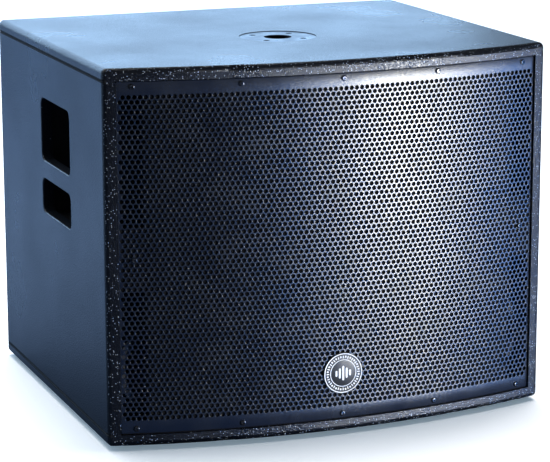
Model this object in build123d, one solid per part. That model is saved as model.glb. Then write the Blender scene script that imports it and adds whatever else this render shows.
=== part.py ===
from build123d import *
import math
import os

# A powered 15-inch subwoofer cabinet with a bowed steel grille, in millimetres.
# X runs across the cabinet, Y from the front to the back, and Z up. The origin is at the
# middle of the footprint, on the surface that the feet stand on.

# Cabinet
CABINET_WIDTH = 590.0
CABINET_HEIGHT = 470.0  # without the feet
SIDE_DEPTH = 475.0  # of the side panels
BOW = 43.0  # how far the front bulges past the side panels
PANEL = 15.0  # plywood thickness
EDGE_ROUND = 7.0
GROOVE = 1.2  # V-groove along the side joints, depth and half width
REAR_RECESS = 40.0  # from the cabinet's back edge to the rear panel
BAFFLE = 18.0
BAFFLE_SETBACK = 22.0  # from the side panels' front edge to the baffle
BRACE = 12.0
BRACE_SETBACK = 297.0  # from the side panels' front edge to the brace
BRACE_RIM = 55.0
BRACE_CORNER = 40.0
SOFT_GAP = 0.3  # between a soft piece and what it lies on
FIT = 0.05  # radial clearance of screws, bushes and shafts
SLACK = 0.3  # clearance round a free moving piece

# Feet
FOOT_HEIGHT = 5.0
FOOT_RADIUS = 19.0
FOOT_INSET = 55.0
FOOT_TAPER = 1.5

# Wood screws of the feet and the handle cups
WOOD_SCREW_RADIUS = 2.0
WOOD_SCREW_LENGTH = 13.0
WOOD_HEAD_RADIUS = 3.8
WOOD_HEAD_HEIGHT = 2.4

# Hand holes, one pair in each side panel, and the cup behind them
HAND_BACK = 143.0  # from the side panels' front edge to the holes
HAND_WIDTH = 127.0
HAND_TOP = 75.0  # from the cabinet's top to the upper hole
HAND_UPPER = 82.0
HAND_BAR = 24.0
HAND_LOWER = 45.0
HAND_CORNER = 10.0
HAND_EDGE_ROUND = 2.0
CUP_MARGIN = 4.0
CUP_DEPTH = 62.0
CUP_WALL = 3.0
CUP_FLANGE = 13.0
CUP_CORNER = 12.0

# Pole socket in the top panel
POLE_BORE = 36.0  # for a 35 mm pole
POLE_TUBE_WALL = 2.0
POLE_BORE_DEPTH = 95.0
POLE_FLANGE_RADIUS = 50.0
POLE_FLANGE = 2.2
POLE_SUNK = 0.8  # the flange's top lies this far below the panel's
POLE_BACK = 180.0  # from the side panels' front edge to the pole's axis
POLE_SCREW_CIRCLE = 36.0
POLE_SCREW_TURN = 45.0
POLE_SCREW_RADIUS = 2.2
POLE_SCREW_HEAD = 4.2
POLE_SCREW_LENGTH = 12.0

# Grille
GRILLE_INSET = 3.0  # behind the cabinet's front edge
GRILLE_SHEET = 1.5
GRILLE_GAP = 0.8  # to the panels round it
GRILLE_FOLD = 9.0
GRILLE_SEAT = 0.2  # between the grille and the battens behind it
GRILLE_SCREW_SIDE = 20.0  # from the side panels to the outermost screws
GRILLE_SCREW_EDGE = 7.3  # from the panels to the rows of screws
GRILLE_SCREW_RADIUS = 2.0
GRILLE_SCREW_HEAD = 3.5
GRILLE_HEAD_HEIGHT = 2.2
GRILLE_SCREW_LENGTH = 16.0
FOAM = 5.0
BATTEN_SIDE_GAP = 3.0  # room for the grille's folded edge
BLOCK_WIDTH = 30.0
BLOCK_HEIGHT = 80.0

# Badge
BADGE_RADIUS = 26.5
BADGE_THICKNESS = 2.5
BADGE_HEIGHT = 75.0  # of its centre above the cabinet's underside
BADGE_RIM = 2.4
BADGE_RELIEF = 0.6
BADGE_RING = 17.6
BADGE_RING_WIDTH = 0.9
BADGE_BAR_WIDTH = 2.6
BADGE_BAR_PITCH = 4.6
BADGE_BAR_HALF = 9.5  # half the middle bar's height
BADGE_BAR_STEP = 2.8  # each bar is this much shorter, at both ends, than the one inside it
BADGE_PIN_RADIUS = 1.4
BADGE_PIN_SPREAD = 14.0
BADGE_PIN_LENGTH = 6.0
CLIP_RADIUS = 4.0
CLIP_THICKNESS = 0.8

# Woofer, with its axis along Y
FRAME_RADIUS = 193.5
FRAME_FLANGE = 6.0
CUTOUT_RADIUS = 177.0
WOOFER_BOLT_CIRCLE = 186.0
WOOFER_BOLTS = 8
BOLT_RADIUS = 3.0
BOLT_HEAD = 5.0
BOLT_HEAD_HEIGHT = 3.2
BOLT_LENGTH = 28.0
TEE_BARREL_RADIUS = 4.0
TEE_BARREL_LENGTH = 10.0
TEE_FLANGE_RADIUS = 9.5
TEE_FLANGE = 1.5
GASKET = 3.0
BASKET_WALL = 5.0
BASKET_DEPTH = 95.0
BASKET_NECK = 90.0
BASKET_WINDOWS = 6
WINDOW_ANGLE = 44.0
SPIDER_RADIUS = 82.0
SPIDER_DEPTH = 72.0
SPIDER_SHEET = 0.8
SURROUND_LIP = 179.0
SURROUND_OUTER = 175.0
SURROUND_INNER = 150.0
SURROUND_SHEET = 1.2
TERMINAL_DEPTH = 60.0
TERMINAL_TURN = 270.0  # on the lowest spoke
TERMINAL_TAG = 15.0
CONE_SHEET = 1.2
CONE_TOP = -1.0
CONE_NECK_DEPTH = 62.0
CAP_RADIUS = 60.0
CAP_RISE = 18.0
COIL_RADIUS = 38.0
FORMER_WALL = 0.6
WINDING = 0.9
COIL_LOW = -110.0
WINDING_LENGTH = 18.0
COIL_GAP = 0.7
TOP_PLATE_RADIUS = 75.0
TOP_PLATE = 8.0
MAGNET_RADIUS = 95.0
MAGNET_BORE = 50.0
MAGNET = 20.0
BACK_PLATE = 8.0
POLE_VENT = 12.0

# Port tubes, one each side below the woofer
PORT_RADIUS = 46.0
PORT_WALL = 3.0
PORT_FLANGE_RADIUS = 57.0
PORT_FLANGE = 4.0
PORT_LENGTH = 230.0
PORT_EDGE_GAP = 4.0

# Amplifier
AMP_WIDTH = 330.0
AMP_HEIGHT = 250.0
AMP_PLATE = 3.0
AMP_LIP = 15.0  # of the plate round its cut-out
AMP_CORNER = 6.0
AMP_DEPTH = 92.0
AMP_SHEET = 1.5
AMP_CASE_GAP = 2.0
AMP_SCREW_EDGE = 7.0
AMP_SCREW_RADIUS = 2.0
AMP_SCREW_HEAD = 3.8
AMP_HEAD_HEIGHT = 2.2
AMP_SCREW_LENGTH = 14.0
SINK_WIDTH = 296.0
SINK_HEIGHT = 88.0
SINK_BASE = 4.0
SINK_DEPTH = 30.0
SINK_FINS = 22
FIN = 2.4
BOARD = 1.6
BOARD_STAND = 32.0
BOARD_X = (-138.0, 45.0)
BOARD_GAP = 8.0  # from the board to the case's ends
BOSS_X = (-130.0, 35.0)
BOSS_Z = 90.0
BOSS_RADIUS = 4.0
CONTROL_ROW = -18.0  # height of the controls from the plate's middle
SOCKET_ROW = -72.0
INPUT_X = (-132.0, -94.0)
OUTPUT_X = (-42.0, -4.0)
INLET_X = 60.0
SWITCH_X = 122.0
LEVEL_X = -128.0
CROSSOVER_X = -84.0
PHASE_X = -42.0
LED_X = (-8.0, 6.0, 20.0)

# Parts on the board: middle X, middle height above the plate's middle, width, height and rise
BOARD_PARTS = (
    (-110.0, 62.0, 22.0, 40.0, 14.0),
    (-75.0, 62.0, 22.0, 40.0, 14.0),
    (-92.0, -8.0, 60.0, 30.0, 6.0),
    (-20.0, -62.0, 34.0, 30.0, 18.0),
)
CAN_X = (-30.0, 4.0)
CAN_Z = (35.0, 68.0)
CAN_RADIUS = 13.0
CAN_HEIGHT = 40.0
CAN_ROUND = 2.0
CORE_RADIUS = 42.0
CORE_BORE = 14.0
CORE_HEIGHT = 42.0
CORE_ROUND = 8.0
CORE_GAP = 3.0  # from the transformer to the case

# XLR sockets
XLR_WIDTH = 26.0
XLR_HEIGHT = 33.0
XLR_FLANGE = 2.0
XLR_CORNER = 3.0
XLR_BODY_RADIUS = 11.6
XLR_BODY_DEPTH = 20.0
XLR_BORE = 9.5
XLR_BORE_DEPTH = 15.0
XLR_INSERT = 7.8
XLR_SUNK = 7.0
XLR_PIN = 1.2
XLR_PIN_CIRCLE = 4.8
XLR_SCREW_X = 9.5
XLR_SCREW_Y = 12.0
LATCH_WIDTH = 8.0
LATCH_HEIGHT = 3.8
LATCH_Y = 12.8
LATCH_PROUD = 2.2
LATCH_LENGTH = 12.0
LATCH_TRAVEL = 2.0

# Mains inlet and power switch
INLET_WIDTH = 50.0
INLET_HEIGHT = 27.0
INLET_FLANGE = 2.5
INLET_BODY = (28.0, 21.0)
INLET_WALL = 1.8
INLET_DEPTH = 20.0
BLADE = (2.0, 4.0)
BLADE_LENGTH = 14.0
SWITCH_WIDTH = 19.0
SWITCH_HEIGHT = 26.0
SWITCH_WALL = 3.0
SWITCH_FLANGE = 2.0
SWITCH_DEPTH = 18.0
ROCKER_TILT = 10.0
ROCKER_PIN = 1.2

# Knobs and button
KNOB_RADIUS = 9.5
KNOB_HEIGHT = 14.0
KNOB_LIFT = 0.5
KNOB_FLUTES = 14
KNOB_FLUTE_RADIUS = 1.4
KNOB_SKIRT = 3.0  # below the flutes
KNOB_ROOF = 3.0  # above the shaft
KNOB_ROUND = 1.2
POINTER_WIDTH = 1.2
POINTER_DEPTH = 0.7
POINTER_START = 2.5  # from the knob's axis
SHAFT_RADIUS = 3.0
BUSH_RADIUS = 4.0
POT_WIDTH = 17.0
POT_DEPTH = 9.0
POT_WALL = 2.0
BUTTON_RADIUS = 3.5
BUTTON_PROUD = 4.0
BUTTON_TRAVEL = 2.5
BUTTON_TAIL = 5.0  # of the plunger behind the plate
PHASE_HOUSING = 11.0
PHASE_DEPTH = 12.0
LED_RADIUS = 1.5
LED_PROUD = 1.4
LED_RIM = 0.8
LED_TAIL = 3.0

# Loudspeaker lead
LEAD_RADIUS = 3.0

# Damping
PAD = 20.0
PAD_ROUND = 6.0

# Places that follow from the sizes above
DEPTH = SIDE_DEPTH + BOW
FRONT = -DEPTH / 2
BACK = DEPTH / 2
SIDE_FRONT = FRONT + BOW
BASE = FOOT_HEIGHT
TOP = BASE + CABINET_HEIGHT
MIDDLE = (BASE + TOP) / 2
OUTER_X = CABINET_WIDTH / 2
INNER_X = OUTER_X - PANEL
INNER_LOW = BASE + PANEL
INNER_HIGH = TOP - PANEL
BOW_RADIUS = (OUTER_X**2 + BOW**2) / (2 * BOW)
BAFFLE_FRONT = SIDE_FRONT + BAFFLE_SETBACK
BAFFLE_BACK = BAFFLE_FRONT + BAFFLE
BRACE_FRONT = SIDE_FRONT + BRACE_SETBACK
REAR_FACE = BACK - REAR_RECESS
REAR_INNER = REAR_FACE - PANEL
HAND_FRONT = SIDE_FRONT + HAND_BACK
HAND_REAR = HAND_FRONT + HAND_WIDTH
UPPER_HIGH = TOP - HAND_TOP
UPPER_LOW = UPPER_HIGH - HAND_UPPER
LOWER_HIGH = UPPER_LOW - HAND_BAR
LOWER_LOW = LOWER_HIGH - HAND_LOWER
POLE_Y = SIDE_FRONT + POLE_BACK
POLE_TOP = TOP - POLE_SUNK
POLE_TUBE_RADIUS = POLE_BORE / 2 + POLE_TUBE_WALL
GRILLE_BACK = GRILLE_INSET + GRILLE_SHEET
GRILLE_X = INNER_X - GRILLE_GAP
GRILLE_LOW = INNER_LOW + GRILLE_GAP
GRILLE_HIGH = INNER_HIGH - GRILLE_GAP
BATTEN_X = INNER_X - BATTEN_SIDE_GAP
SCREW_REACH = INNER_X - GRILLE_SCREW_SIDE
GRILLE_SCREW_X = (-SCREW_REACH, -SCREW_REACH / 2, 0.0, SCREW_REACH / 2, SCREW_REACH)
BADGE_Z = BASE + BADGE_HEIGHT
PORT_X = INNER_X - PORT_FLANGE_RADIUS - PORT_EDGE_GAP
PORT_Z = INNER_LOW + PANEL + PORT_FLANGE_RADIUS + PORT_EDGE_GAP
AMP_OUTER = REAR_FACE + AMP_PLATE
AMP_FLOOR = REAR_FACE - AMP_DEPTH
CASE_X = AMP_WIDTH / 2 - AMP_LIP - AMP_CASE_GAP
CASE_Z = AMP_HEIGHT / 2 - AMP_LIP - AMP_CASE_GAP
CONTROL_Z = MIDDLE + CONTROL_ROW
SOCKET_Z = MIDDLE + SOCKET_ROW
POT_FLOOR = POT_WALL - AMP_PLATE - POT_DEPTH
ROCKER_X = SWITCH_WIDTH - 2 * SWITCH_WALL
ROCKER_Y = SWITCH_HEIGHT - 2 * SWITCH_WALL
BASKET_TOP = CUTOUT_RADIUS - 1
BASKET_FOOT = -SPIDER_DEPTH - 2
TERMINAL_Z = -TERMINAL_DEPTH
TERMINAL_R = BASKET_TOP - (BASKET_TOP - BASKET_NECK) * TERMINAL_Z / BASKET_FOOT
MAGNET_TOP = -BASKET_DEPTH - TOP_PLATE
MAGNET_LOW = MAGNET_TOP - MAGNET
GAP_RADIUS = COIL_RADIUS + WINDING + COIL_GAP


def box(x, y, z):
    """A block between a low and a high limit along each axis."""
    spans = (x, y, z)
    middle = [(low + high) / 2 for low, high in spans]
    return Pos(*middle) * Box(*[high - low for low, high in spans])


def around(middle, size):
    """The low and high limits of a size centred on a middle."""
    return (middle - size / 2, middle + size / 2)


def rounded(block, axis, radius):
    """A block with its edges along one axis rounded."""
    return fillet(block.edges().filter_by(axis), radius)


def disc(radius, low, high):
    """A cylinder on the Z axis between two heights."""
    return Pos(0, 0, (low + high) / 2) * Cylinder(radius, high - low)


def ring(outer, inner, low, high):
    """A tube on the Z axis between two heights."""
    return disc(outer, low, high) - disc(inner, low - 1, high + 1)


def turned(*points):
    """A solid of revolution about Z from its corner points (radius, height)."""
    outline = Plane.XZ * make_face(Polyline(*points, close=True))
    return revolve(outline, Axis.Z)


def group(solids):
    """Several separate solids as one compound."""
    return Compound(children=[part.solid() for part in solids])


def bow_y(x, inset):
    """Y of the bowed front, moved back by an inset along its normal."""
    return FRONT + BOW_RADIUS - math.sqrt((BOW_RADIUS - inset) ** 2 - x**2)


def bowed_block(half_width, inset, back, low, high):
    """A block with a bowed front and straight sides, between two heights."""
    edge = bow_y(half_width, inset)
    front = ThreePointArc((-half_width, edge), (0, bow_y(0, inset)), (half_width, edge))
    rest = Polyline((half_width, edge), (half_width, back), (-half_width, back), (-half_width, edge))
    outline = make_face([*front.edges(), *rest.edges()])
    return Pos(0, 0, low) * extrude(outline, high - low, dir=(0, 0, 1))


def bowed_sheet(half_width, inset, thickness, low, high):
    """A curved sheet that follows the bowed front."""
    solid = bowed_block(half_width, inset, SIDE_FRONT + BOW, low, high)
    return solid - bowed_block(half_width + 1, inset + thickness, SIDE_FRONT + 2 * BOW, low - 1, high + 1)


def on_bow(x, z, inset):
    """The place on the bowed front whose local Z points outwards along the normal."""
    angle = math.degrees(math.asin(x / (BOW_RADIUS - inset)))
    return Pos(x, bow_y(x, inset), z) * Rot(0, 0, angle) * Rot(90, 0, 0)


def on_rear(x, z):
    """The place on the amplifier's plate whose local Z points backwards and local Y down."""
    return Pos(x, AMP_OUTER, z) * Rot(-90, 0, 0)


def on_woofer():
    """The place on the baffle whose local Z points forwards along the woofer's axis."""
    return Pos(0, BAFFLE_FRONT, MIDDLE) * Rot(90, 0, 0)


def screw(head_radius, head_height, shank_radius, length):
    """A button-head screw along -Z with a hexagon socket; its head stands on z = 0."""
    head = disc(head_radius, 0, head_height)
    head = fillet(head.edges().sort_by(Axis.Z)[-1], head_height * 0.7)
    socket = Pos(0, 0, head_height * 0.4) * extrude(RegularPolygon(head_radius * 0.48, 6), head_height)
    return head - socket + disc(shank_radius, -length, 0)


def round_places(radius, count, start=0.0):
    """Places spread evenly on a circle about Z."""
    step = 360 / count
    return [Rot(0, 0, start + step * i) * Pos(radius, 0, 0) for i in range(count)]


def cabinet_solid():
    """The cabinet's outer form, with its upright, top and bottom edges rounded."""
    solid = bowed_block(OUTER_X, 0, BACK, BASE, TOP)
    solid = rounded(solid, Axis.Z, EDGE_ROUND)
    faces = solid.faces().sort_by(Axis.Z)
    return fillet([*faces[0].edges(), *faces[-1].edges()], EDGE_ROUND)


def side_grooves():
    """The V-grooves along the joints of the side panels."""
    grooves = []
    for side in (-1, 1):
        for joint in (INNER_LOW, INNER_HIGH):
            outer = side * (OUTER_X + GROOVE)
            tip = side * (OUTER_X - GROOVE)
            points = [(outer, joint - 2 * GROOVE), (tip, joint), (outer, joint + 2 * GROOVE)]
            outline = Plane.XZ * make_face(Polyline(*points, close=True))
            grooves.append(Pos(0, BACK + 1, 0) * extrude(outline, DEPTH + 2, dir=(0, -1, 0)))
    return grooves


def foot_places():
    """The middles of the four feet on the cabinet's underside."""
    across = OUTER_X - FOOT_INSET
    front = SIDE_FRONT + FOOT_INSET
    back = BACK - FOOT_INSET
    return [Pos(x, y, BASE) for x in (-across, across) for y in (front, back)]


def foot_screw_place(foot):
    """The place of a foot's screw, its head sunk in the foot."""
    return foot * Pos(0, 0, -FOOT_HEIGHT + WOOD_HEAD_HEIGHT + 1) * Rot(180, 0, 0)


def cup_screw_places(side):
    """The screws of one handle cup, driven outwards through its flange."""
    inset = CUP_FLANGE / 2
    front = HAND_FRONT - CUP_MARGIN - CUP_WALL - inset
    back = HAND_REAR + CUP_MARGIN + CUP_WALL + inset
    low = LOWER_LOW - CUP_MARGIN - CUP_WALL - inset
    high = UPPER_HIGH + CUP_MARGIN + CUP_WALL + inset
    spots = [(y, z) for y in (front, back) for z in (low, (low + high) / 2, high)]
    face = side * (INNER_X - CUP_WALL)
    return [Pos(face, y, z) * Rot(0, -90 * side, 0) for y, z in spots]


def pole_place():
    """The middle of the pole socket's flange, on its top face."""
    return Pos(0, POLE_Y, POLE_TOP)


def top_panel(cabinet, grooves):
    """The top panel, with the pole socket's rebate, hole and screw holes."""
    panel = cabinet & box((-OUTER_X, OUTER_X), (FRONT, BACK), (INNER_HIGH, TOP))
    for groove in grooves:
        panel -= groove
    panel -= pole_place() * disc(POLE_FLANGE_RADIUS + SLACK, -POLE_FLANGE, 2 * POLE_SUNK)
    panel -= pole_place() * disc(POLE_TUBE_RADIUS + SLACK, -2 * PANEL, 0)
    for place in round_places(POLE_SCREW_CIRCLE, 4, POLE_SCREW_TURN):
        panel -= pole_place() * place * disc(POLE_SCREW_RADIUS + FIT, -POLE_SCREW_LENGTH, 0)
    return panel


def bottom_panel(cabinet, grooves):
    """The bottom panel, with the feet's screw holes."""
    panel = cabinet & box((-OUTER_X, OUTER_X), (FRONT, BACK), (BASE, INNER_LOW))
    for groove in grooves:
        panel -= groove
    for foot in foot_places():
        panel -= foot_screw_place(foot) * disc(WOOD_SCREW_RADIUS + FIT, -WOOD_SCREW_LENGTH, 1)
    return panel


def hand_hole(side, low, high):
    """The cutter of one hand hole through a side panel."""
    wall = side * (OUTER_X - PANEL / 2)
    cutter = box(around(wall, PANEL + 2), (HAND_FRONT, HAND_REAR), (low, high))
    return rounded(cutter, Axis.X, HAND_CORNER)


def side_panel(cabinet, grooves, side):
    """One side panel, with its two hand holes and the cup's screw holes."""
    wall = (side * OUTER_X, side * INNER_X)
    panel = cabinet & box((min(wall), max(wall)), (FRONT, BACK), (INNER_LOW, INNER_HIGH))
    for groove in grooves:
        panel -= groove
    for low, high in ((UPPER_LOW, UPPER_HIGH), (LOWER_LOW, LOWER_HIGH)):
        panel -= hand_hole(side, low, high)
    rims = []
    for edge in panel.edges().filter_by_position(Axis.X, side * OUTER_X - 0.01, side * OUTER_X + 0.01):
        middle = edge.center()
        beside = HAND_FRONT - 1 < middle.Y < HAND_REAR + 1
        if beside and LOWER_LOW - 1 < middle.Z < UPPER_HIGH + 1:
            rims.append(edge)
    panel = fillet(rims, HAND_EDGE_ROUND)
    for place in cup_screw_places(side):
        panel -= place * disc(WOOD_SCREW_RADIUS + FIT, -WOOD_SCREW_LENGTH, 1)
    return panel


def rear_panel():
    """The rear panel, cut out for the amplifier, with its screw holes."""
    panel = box((-INNER_X, INNER_X), (REAR_INNER, REAR_FACE), (INNER_LOW, INNER_HIGH))
    opening = box(
        around(0, AMP_WIDTH - 2 * AMP_LIP),
        (REAR_INNER - 1, REAR_FACE + 1),
        around(MIDDLE, AMP_HEIGHT - 2 * AMP_LIP),
    )
    panel -= rounded(opening, Axis.Y, AMP_CORNER)
    for place in amp_screw_places():
        panel -= place * disc(AMP_SCREW_RADIUS + FIT, -AMP_SCREW_LENGTH, 0)
    return panel


def front_baffle():
    """The baffle, with the woofer's cut-out, its bolt holes and the two port holes."""
    panel = box((-INNER_X, INNER_X), (BAFFLE_FRONT, BAFFLE_BACK), (INNER_LOW, INNER_HIGH))
    panel -= on_woofer() * disc(CUTOUT_RADIUS, -BAFFLE - 1, 1)
    for place in round_places(WOOFER_BOLT_CIRCLE, WOOFER_BOLTS, 180 / WOOFER_BOLTS):
        panel -= on_woofer() * place * disc(BOLT_RADIUS + FIT, -BAFFLE - 1, 1)
        panel -= on_woofer() * place * disc(TEE_BARREL_RADIUS, -BAFFLE - 1, TEE_BARREL_LENGTH - BAFFLE)
    for side in (-1, 1):
        panel -= port_place(side) * disc(PORT_RADIUS + PORT_WALL + SLACK, -BAFFLE - 1, 1)
    return panel


def window_brace():
    """The brace behind the woofer: a board with one large rounded window."""
    board = box((-INNER_X, INNER_X), around(BRACE_FRONT + BRACE / 2, BRACE), (INNER_LOW, INNER_HIGH))
    window = box(
        around(0, 2 * (INNER_X - BRACE_RIM)),
        around(BRACE_FRONT + BRACE / 2, BRACE + 2),
        (INNER_LOW + BRACE_RIM, INNER_HIGH - BRACE_RIM),
    )
    return board - rounded(window, Axis.Y, BRACE_CORNER)


def grille_batten(low, high, screw_z):
    """A bowed batten in front of the baffle, along the top or the bottom of the grille."""
    batten = bowed_block(BATTEN_X, GRILLE_BACK + GRILLE_SEAT, BAFFLE_FRONT, low, high)
    for x in GRILLE_SCREW_X:
        batten -= on_bow(x, screw_z, GRILLE_INSET) * disc(GRILLE_SCREW_RADIUS + FIT, -GRILLE_SCREW_LENGTH, 0)
    return batten


def grille_blocks():
    """The two blocks behind the grille's side screws."""
    front = bowed_block(BATTEN_X, GRILLE_BACK + GRILLE_SEAT, BAFFLE_FRONT, *around(MIDDLE, BLOCK_HEIGHT))
    blocks = []
    for side in (-1, 1):
        span = (side * BATTEN_X, side * (BATTEN_X - BLOCK_WIDTH))
        block = front & box((min(span), max(span)), (FRONT, BAFFLE_FRONT), around(MIDDLE, BLOCK_HEIGHT))
        hole = disc(GRILLE_SCREW_RADIUS + FIT, -GRILLE_SCREW_LENGTH, 0)
        blocks.append(block - on_bow(side * GRILLE_SCREW_X[-1], MIDDLE, GRILLE_INSET) * hole)
    return group(blocks)


def grille_screw_places():
    """The outer face of the grille at each of its screws."""
    low = INNER_LOW + GRILLE_SCREW_EDGE
    high = INNER_HIGH - GRILLE_SCREW_EDGE
    spots = [(x, z) for z in (low, high) for x in GRILLE_SCREW_X]
    spots += [(x, MIDDLE) for x in (GRILLE_SCREW_X[0], GRILLE_SCREW_X[-1])]
    return [on_bow(x, z, GRILLE_INSET) for x, z in spots]


def grille():
    """The grille's curved sheet with folded sides and screw holes."""
    sheet = bowed_sheet(GRILLE_X, GRILLE_INSET, GRILLE_SHEET, GRILLE_LOW, GRILLE_HIGH)
    edge = bow_y(GRILLE_X, GRILLE_INSET)
    for side in (-1, 1):
        span = (side * GRILLE_X, side * (GRILLE_X - GRILLE_SHEET))
        sheet += box((min(span), max(span)), (edge + 0.4, edge + GRILLE_FOLD), (GRILLE_LOW, GRILLE_HIGH))
    for place in grille_screw_places():
        sheet -= place * disc(GRILLE_SCREW_RADIUS + FIT, -2 * GRILLE_SHEET, 1)
    for place in badge_pin_places():
        sheet -= place * disc(BADGE_PIN_RADIUS + FIT, -2 * GRILLE_SHEET, 1)
    return sheet


def grille_foam():
    """The foam sheet behind the grille, between the battens and the side blocks."""
    half = BATTEN_X - BLOCK_WIDTH - SOFT_GAP
    low = INNER_LOW + PANEL + SOFT_GAP
    high = INNER_HIGH - PANEL - SOFT_GAP
    sheet = bowed_sheet(half, GRILLE_BACK + SOFT_GAP, FOAM, low, high)
    for place in badge_pin_places():
        sheet -= place * disc(CLIP_RADIUS + SLACK, -GRILLE_SHEET - 2 * FOAM, 0)
    return sheet


def grille_screws():
    """The grille's screws, all alike."""
    one = screw(GRILLE_SCREW_HEAD, GRILLE_HEAD_HEIGHT, GRILLE_SCREW_RADIUS, GRILLE_SCREW_LENGTH)
    return group([place * one for place in grille_screw_places()])


def badge_pin_places():
    """The grille's outer face at each of the badge's two pins."""
    place = on_bow(0, BADGE_Z, GRILLE_INSET)
    return [place * Pos(x, 0, 0) for x in (-BADGE_PIN_SPREAD, BADGE_PIN_SPREAD)]


def badge_gap(x):
    """How far the bowed grille falls away behind the flat badge."""
    return bow_y(x, GRILLE_INSET) - bow_y(0, GRILLE_INSET)


def badge():
    """The round badge with a plain emblem: a rim, a ring and five level bars."""
    place = on_bow(0, BADGE_Z, GRILLE_INSET)
    face = BADGE_THICKNESS - BADGE_RELIEF
    plate = disc(BADGE_RADIUS, 0, BADGE_THICKNESS)
    plate -= ring(BADGE_RADIUS - BADGE_RIM, BADGE_RING, face, BADGE_THICKNESS + 1)
    plate -= disc(BADGE_RING - BADGE_RING_WIDTH, face, BADGE_THICKNESS + 1)
    for step in range(-2, 3):
        height = 2 * (BADGE_BAR_HALF - BADGE_BAR_STEP * abs(step))
        across = around(BADGE_BAR_PITCH * step, BADGE_BAR_WIDTH)
        bar = box(across, around(0, height), (face / 2, BADGE_THICKNESS))
        plate += rounded(bar, Axis.Z, BADGE_BAR_WIDTH * 0.45)
    for x in (-BADGE_PIN_SPREAD, BADGE_PIN_SPREAD):
        plate += Pos(x, 0, 0) * disc(BADGE_PIN_RADIUS, -BADGE_PIN_LENGTH, face / 2)
    return place * plate


def badge_clips():
    """The push-on clips that hold the badge's pins behind the grille."""
    clip = ring(CLIP_RADIUS, BADGE_PIN_RADIUS + FIT, -CLIP_THICKNESS, 0)
    drop = GRILLE_SHEET + FIT + badge_gap(BADGE_PIN_SPREAD + CLIP_RADIUS)
    return group([place * Pos(0, 0, -drop) * clip for place in badge_pin_places()])


def rubber_feet():
    """The four round rubber feet, each with a sunk screw hole."""
    feet = []
    for foot in foot_places():
        pad = Cone(FOOT_RADIUS - FOOT_TAPER, FOOT_RADIUS, FOOT_HEIGHT)
        pad = foot * Pos(0, 0, -FOOT_HEIGHT / 2) * pad
        pad -= foot_screw_place(foot) * disc(WOOD_HEAD_RADIUS + SLACK, 0, FOOT_HEIGHT)
        pad -= foot_screw_place(foot) * disc(WOOD_SCREW_RADIUS + FIT, -FOOT_HEIGHT, 1)
        feet.append(pad)
    return group(feet)


def wood_screws():
    """The screws of the feet and of the handle cups, all alike."""
    one = screw(WOOD_HEAD_RADIUS, WOOD_HEAD_HEIGHT, WOOD_SCREW_RADIUS, WOOD_SCREW_LENGTH)
    places = [foot_screw_place(foot) for foot in foot_places()]
    for side in (-1, 1):
        places += cup_screw_places(side)
    return group([place * one for place in places])


def handle_cup(side):
    """A moulded cup behind the hand holes, with a flange on the side panel's inner face."""

    def block(margin, shallow, deep):
        span = (side * (INNER_X - shallow), side * (INNER_X - deep))
        across = (HAND_FRONT - CUP_MARGIN - margin, HAND_REAR + CUP_MARGIN + margin)
        high = (LOWER_LOW - CUP_MARGIN - margin, UPPER_HIGH + CUP_MARGIN + margin)
        return rounded(box((min(span), max(span)), across, high), Axis.X, CUP_CORNER)

    cup = block(CUP_WALL, 0, CUP_DEPTH + CUP_WALL)
    floor = cup.faces().sort_by(Axis.X)[0 if side > 0 else -1]
    cup = fillet(floor.edges(), CUP_CORNER - CUP_WALL)
    hollow = block(0, -1, CUP_DEPTH)
    floor = hollow.faces().sort_by(Axis.X)[0 if side > 0 else -1]
    hollow = fillet(floor.edges(), CUP_CORNER - 2 * CUP_WALL)
    cup += block(CUP_WALL + CUP_FLANGE, 0, CUP_WALL)
    cup -= hollow
    for place in cup_screw_places(side):
        cup -= place * disc(WOOD_SCREW_RADIUS + FIT, -2 * CUP_WALL, 1)
    return cup


def pole_screw_head(extra):
    """The cone of a countersunk head, below z = 0."""
    bottom = POLE_SCREW_RADIUS + extra
    top = POLE_SCREW_HEAD + extra
    return Pos(0, 0, -POLE_FLANGE / 2) * Cone(bottom, top, POLE_FLANGE)


def pole_socket():
    """The steel pole socket: a flange, a tube and a closed foot."""
    socket = disc(POLE_FLANGE_RADIUS, -POLE_FLANGE, 0)
    socket += disc(POLE_TUBE_RADIUS, -POLE_BORE_DEPTH - POLE_TUBE_WALL, 0)
    socket -= disc(POLE_BORE / 2, -POLE_BORE_DEPTH, 1)
    for place in round_places(POLE_SCREW_CIRCLE, 4, POLE_SCREW_TURN):
        socket -= place * pole_screw_head(FIT)
    return pole_place() * socket


def pole_socket_screws():
    """The four countersunk screws of the pole socket."""
    head = pole_screw_head(0)
    head -= box(around(0, 4.4), around(0, 0.9), (-1.1, 1))
    head -= box(around(0, 0.9), around(0, 4.4), (-1.1, 1))
    one = head + disc(POLE_SCREW_RADIUS, -POLE_SCREW_LENGTH, -POLE_FLANGE)
    places = round_places(POLE_SCREW_CIRCLE, 4, POLE_SCREW_TURN)
    return group([pole_place() * place * one for place in places])


def port_place(side):
    """The place on the baffle whose local Z points forwards along a port's axis."""
    return Pos(side * PORT_X, BAFFLE_FRONT, PORT_Z) * Rot(90, 0, 0)


def port_tubes():
    """The two port tubes, each with a flange and a rounded mouth."""
    tube = ring(PORT_RADIUS + PORT_WALL, PORT_RADIUS, -PORT_LENGTH, 0)
    flange = ring(PORT_FLANGE_RADIUS, PORT_RADIUS, 0, PORT_FLANGE)
    tube += flange
    mouth = tube.edges().filter_by(GeomType.CIRCLE).sort_by(Axis.Z)[-2:].sort_by(SortBy.RADIUS)[0]
    tube = fillet(mouth, PORT_FLANGE * 0.9)
    return group([port_place(side) * tube for side in (-1, 1)])


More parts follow.
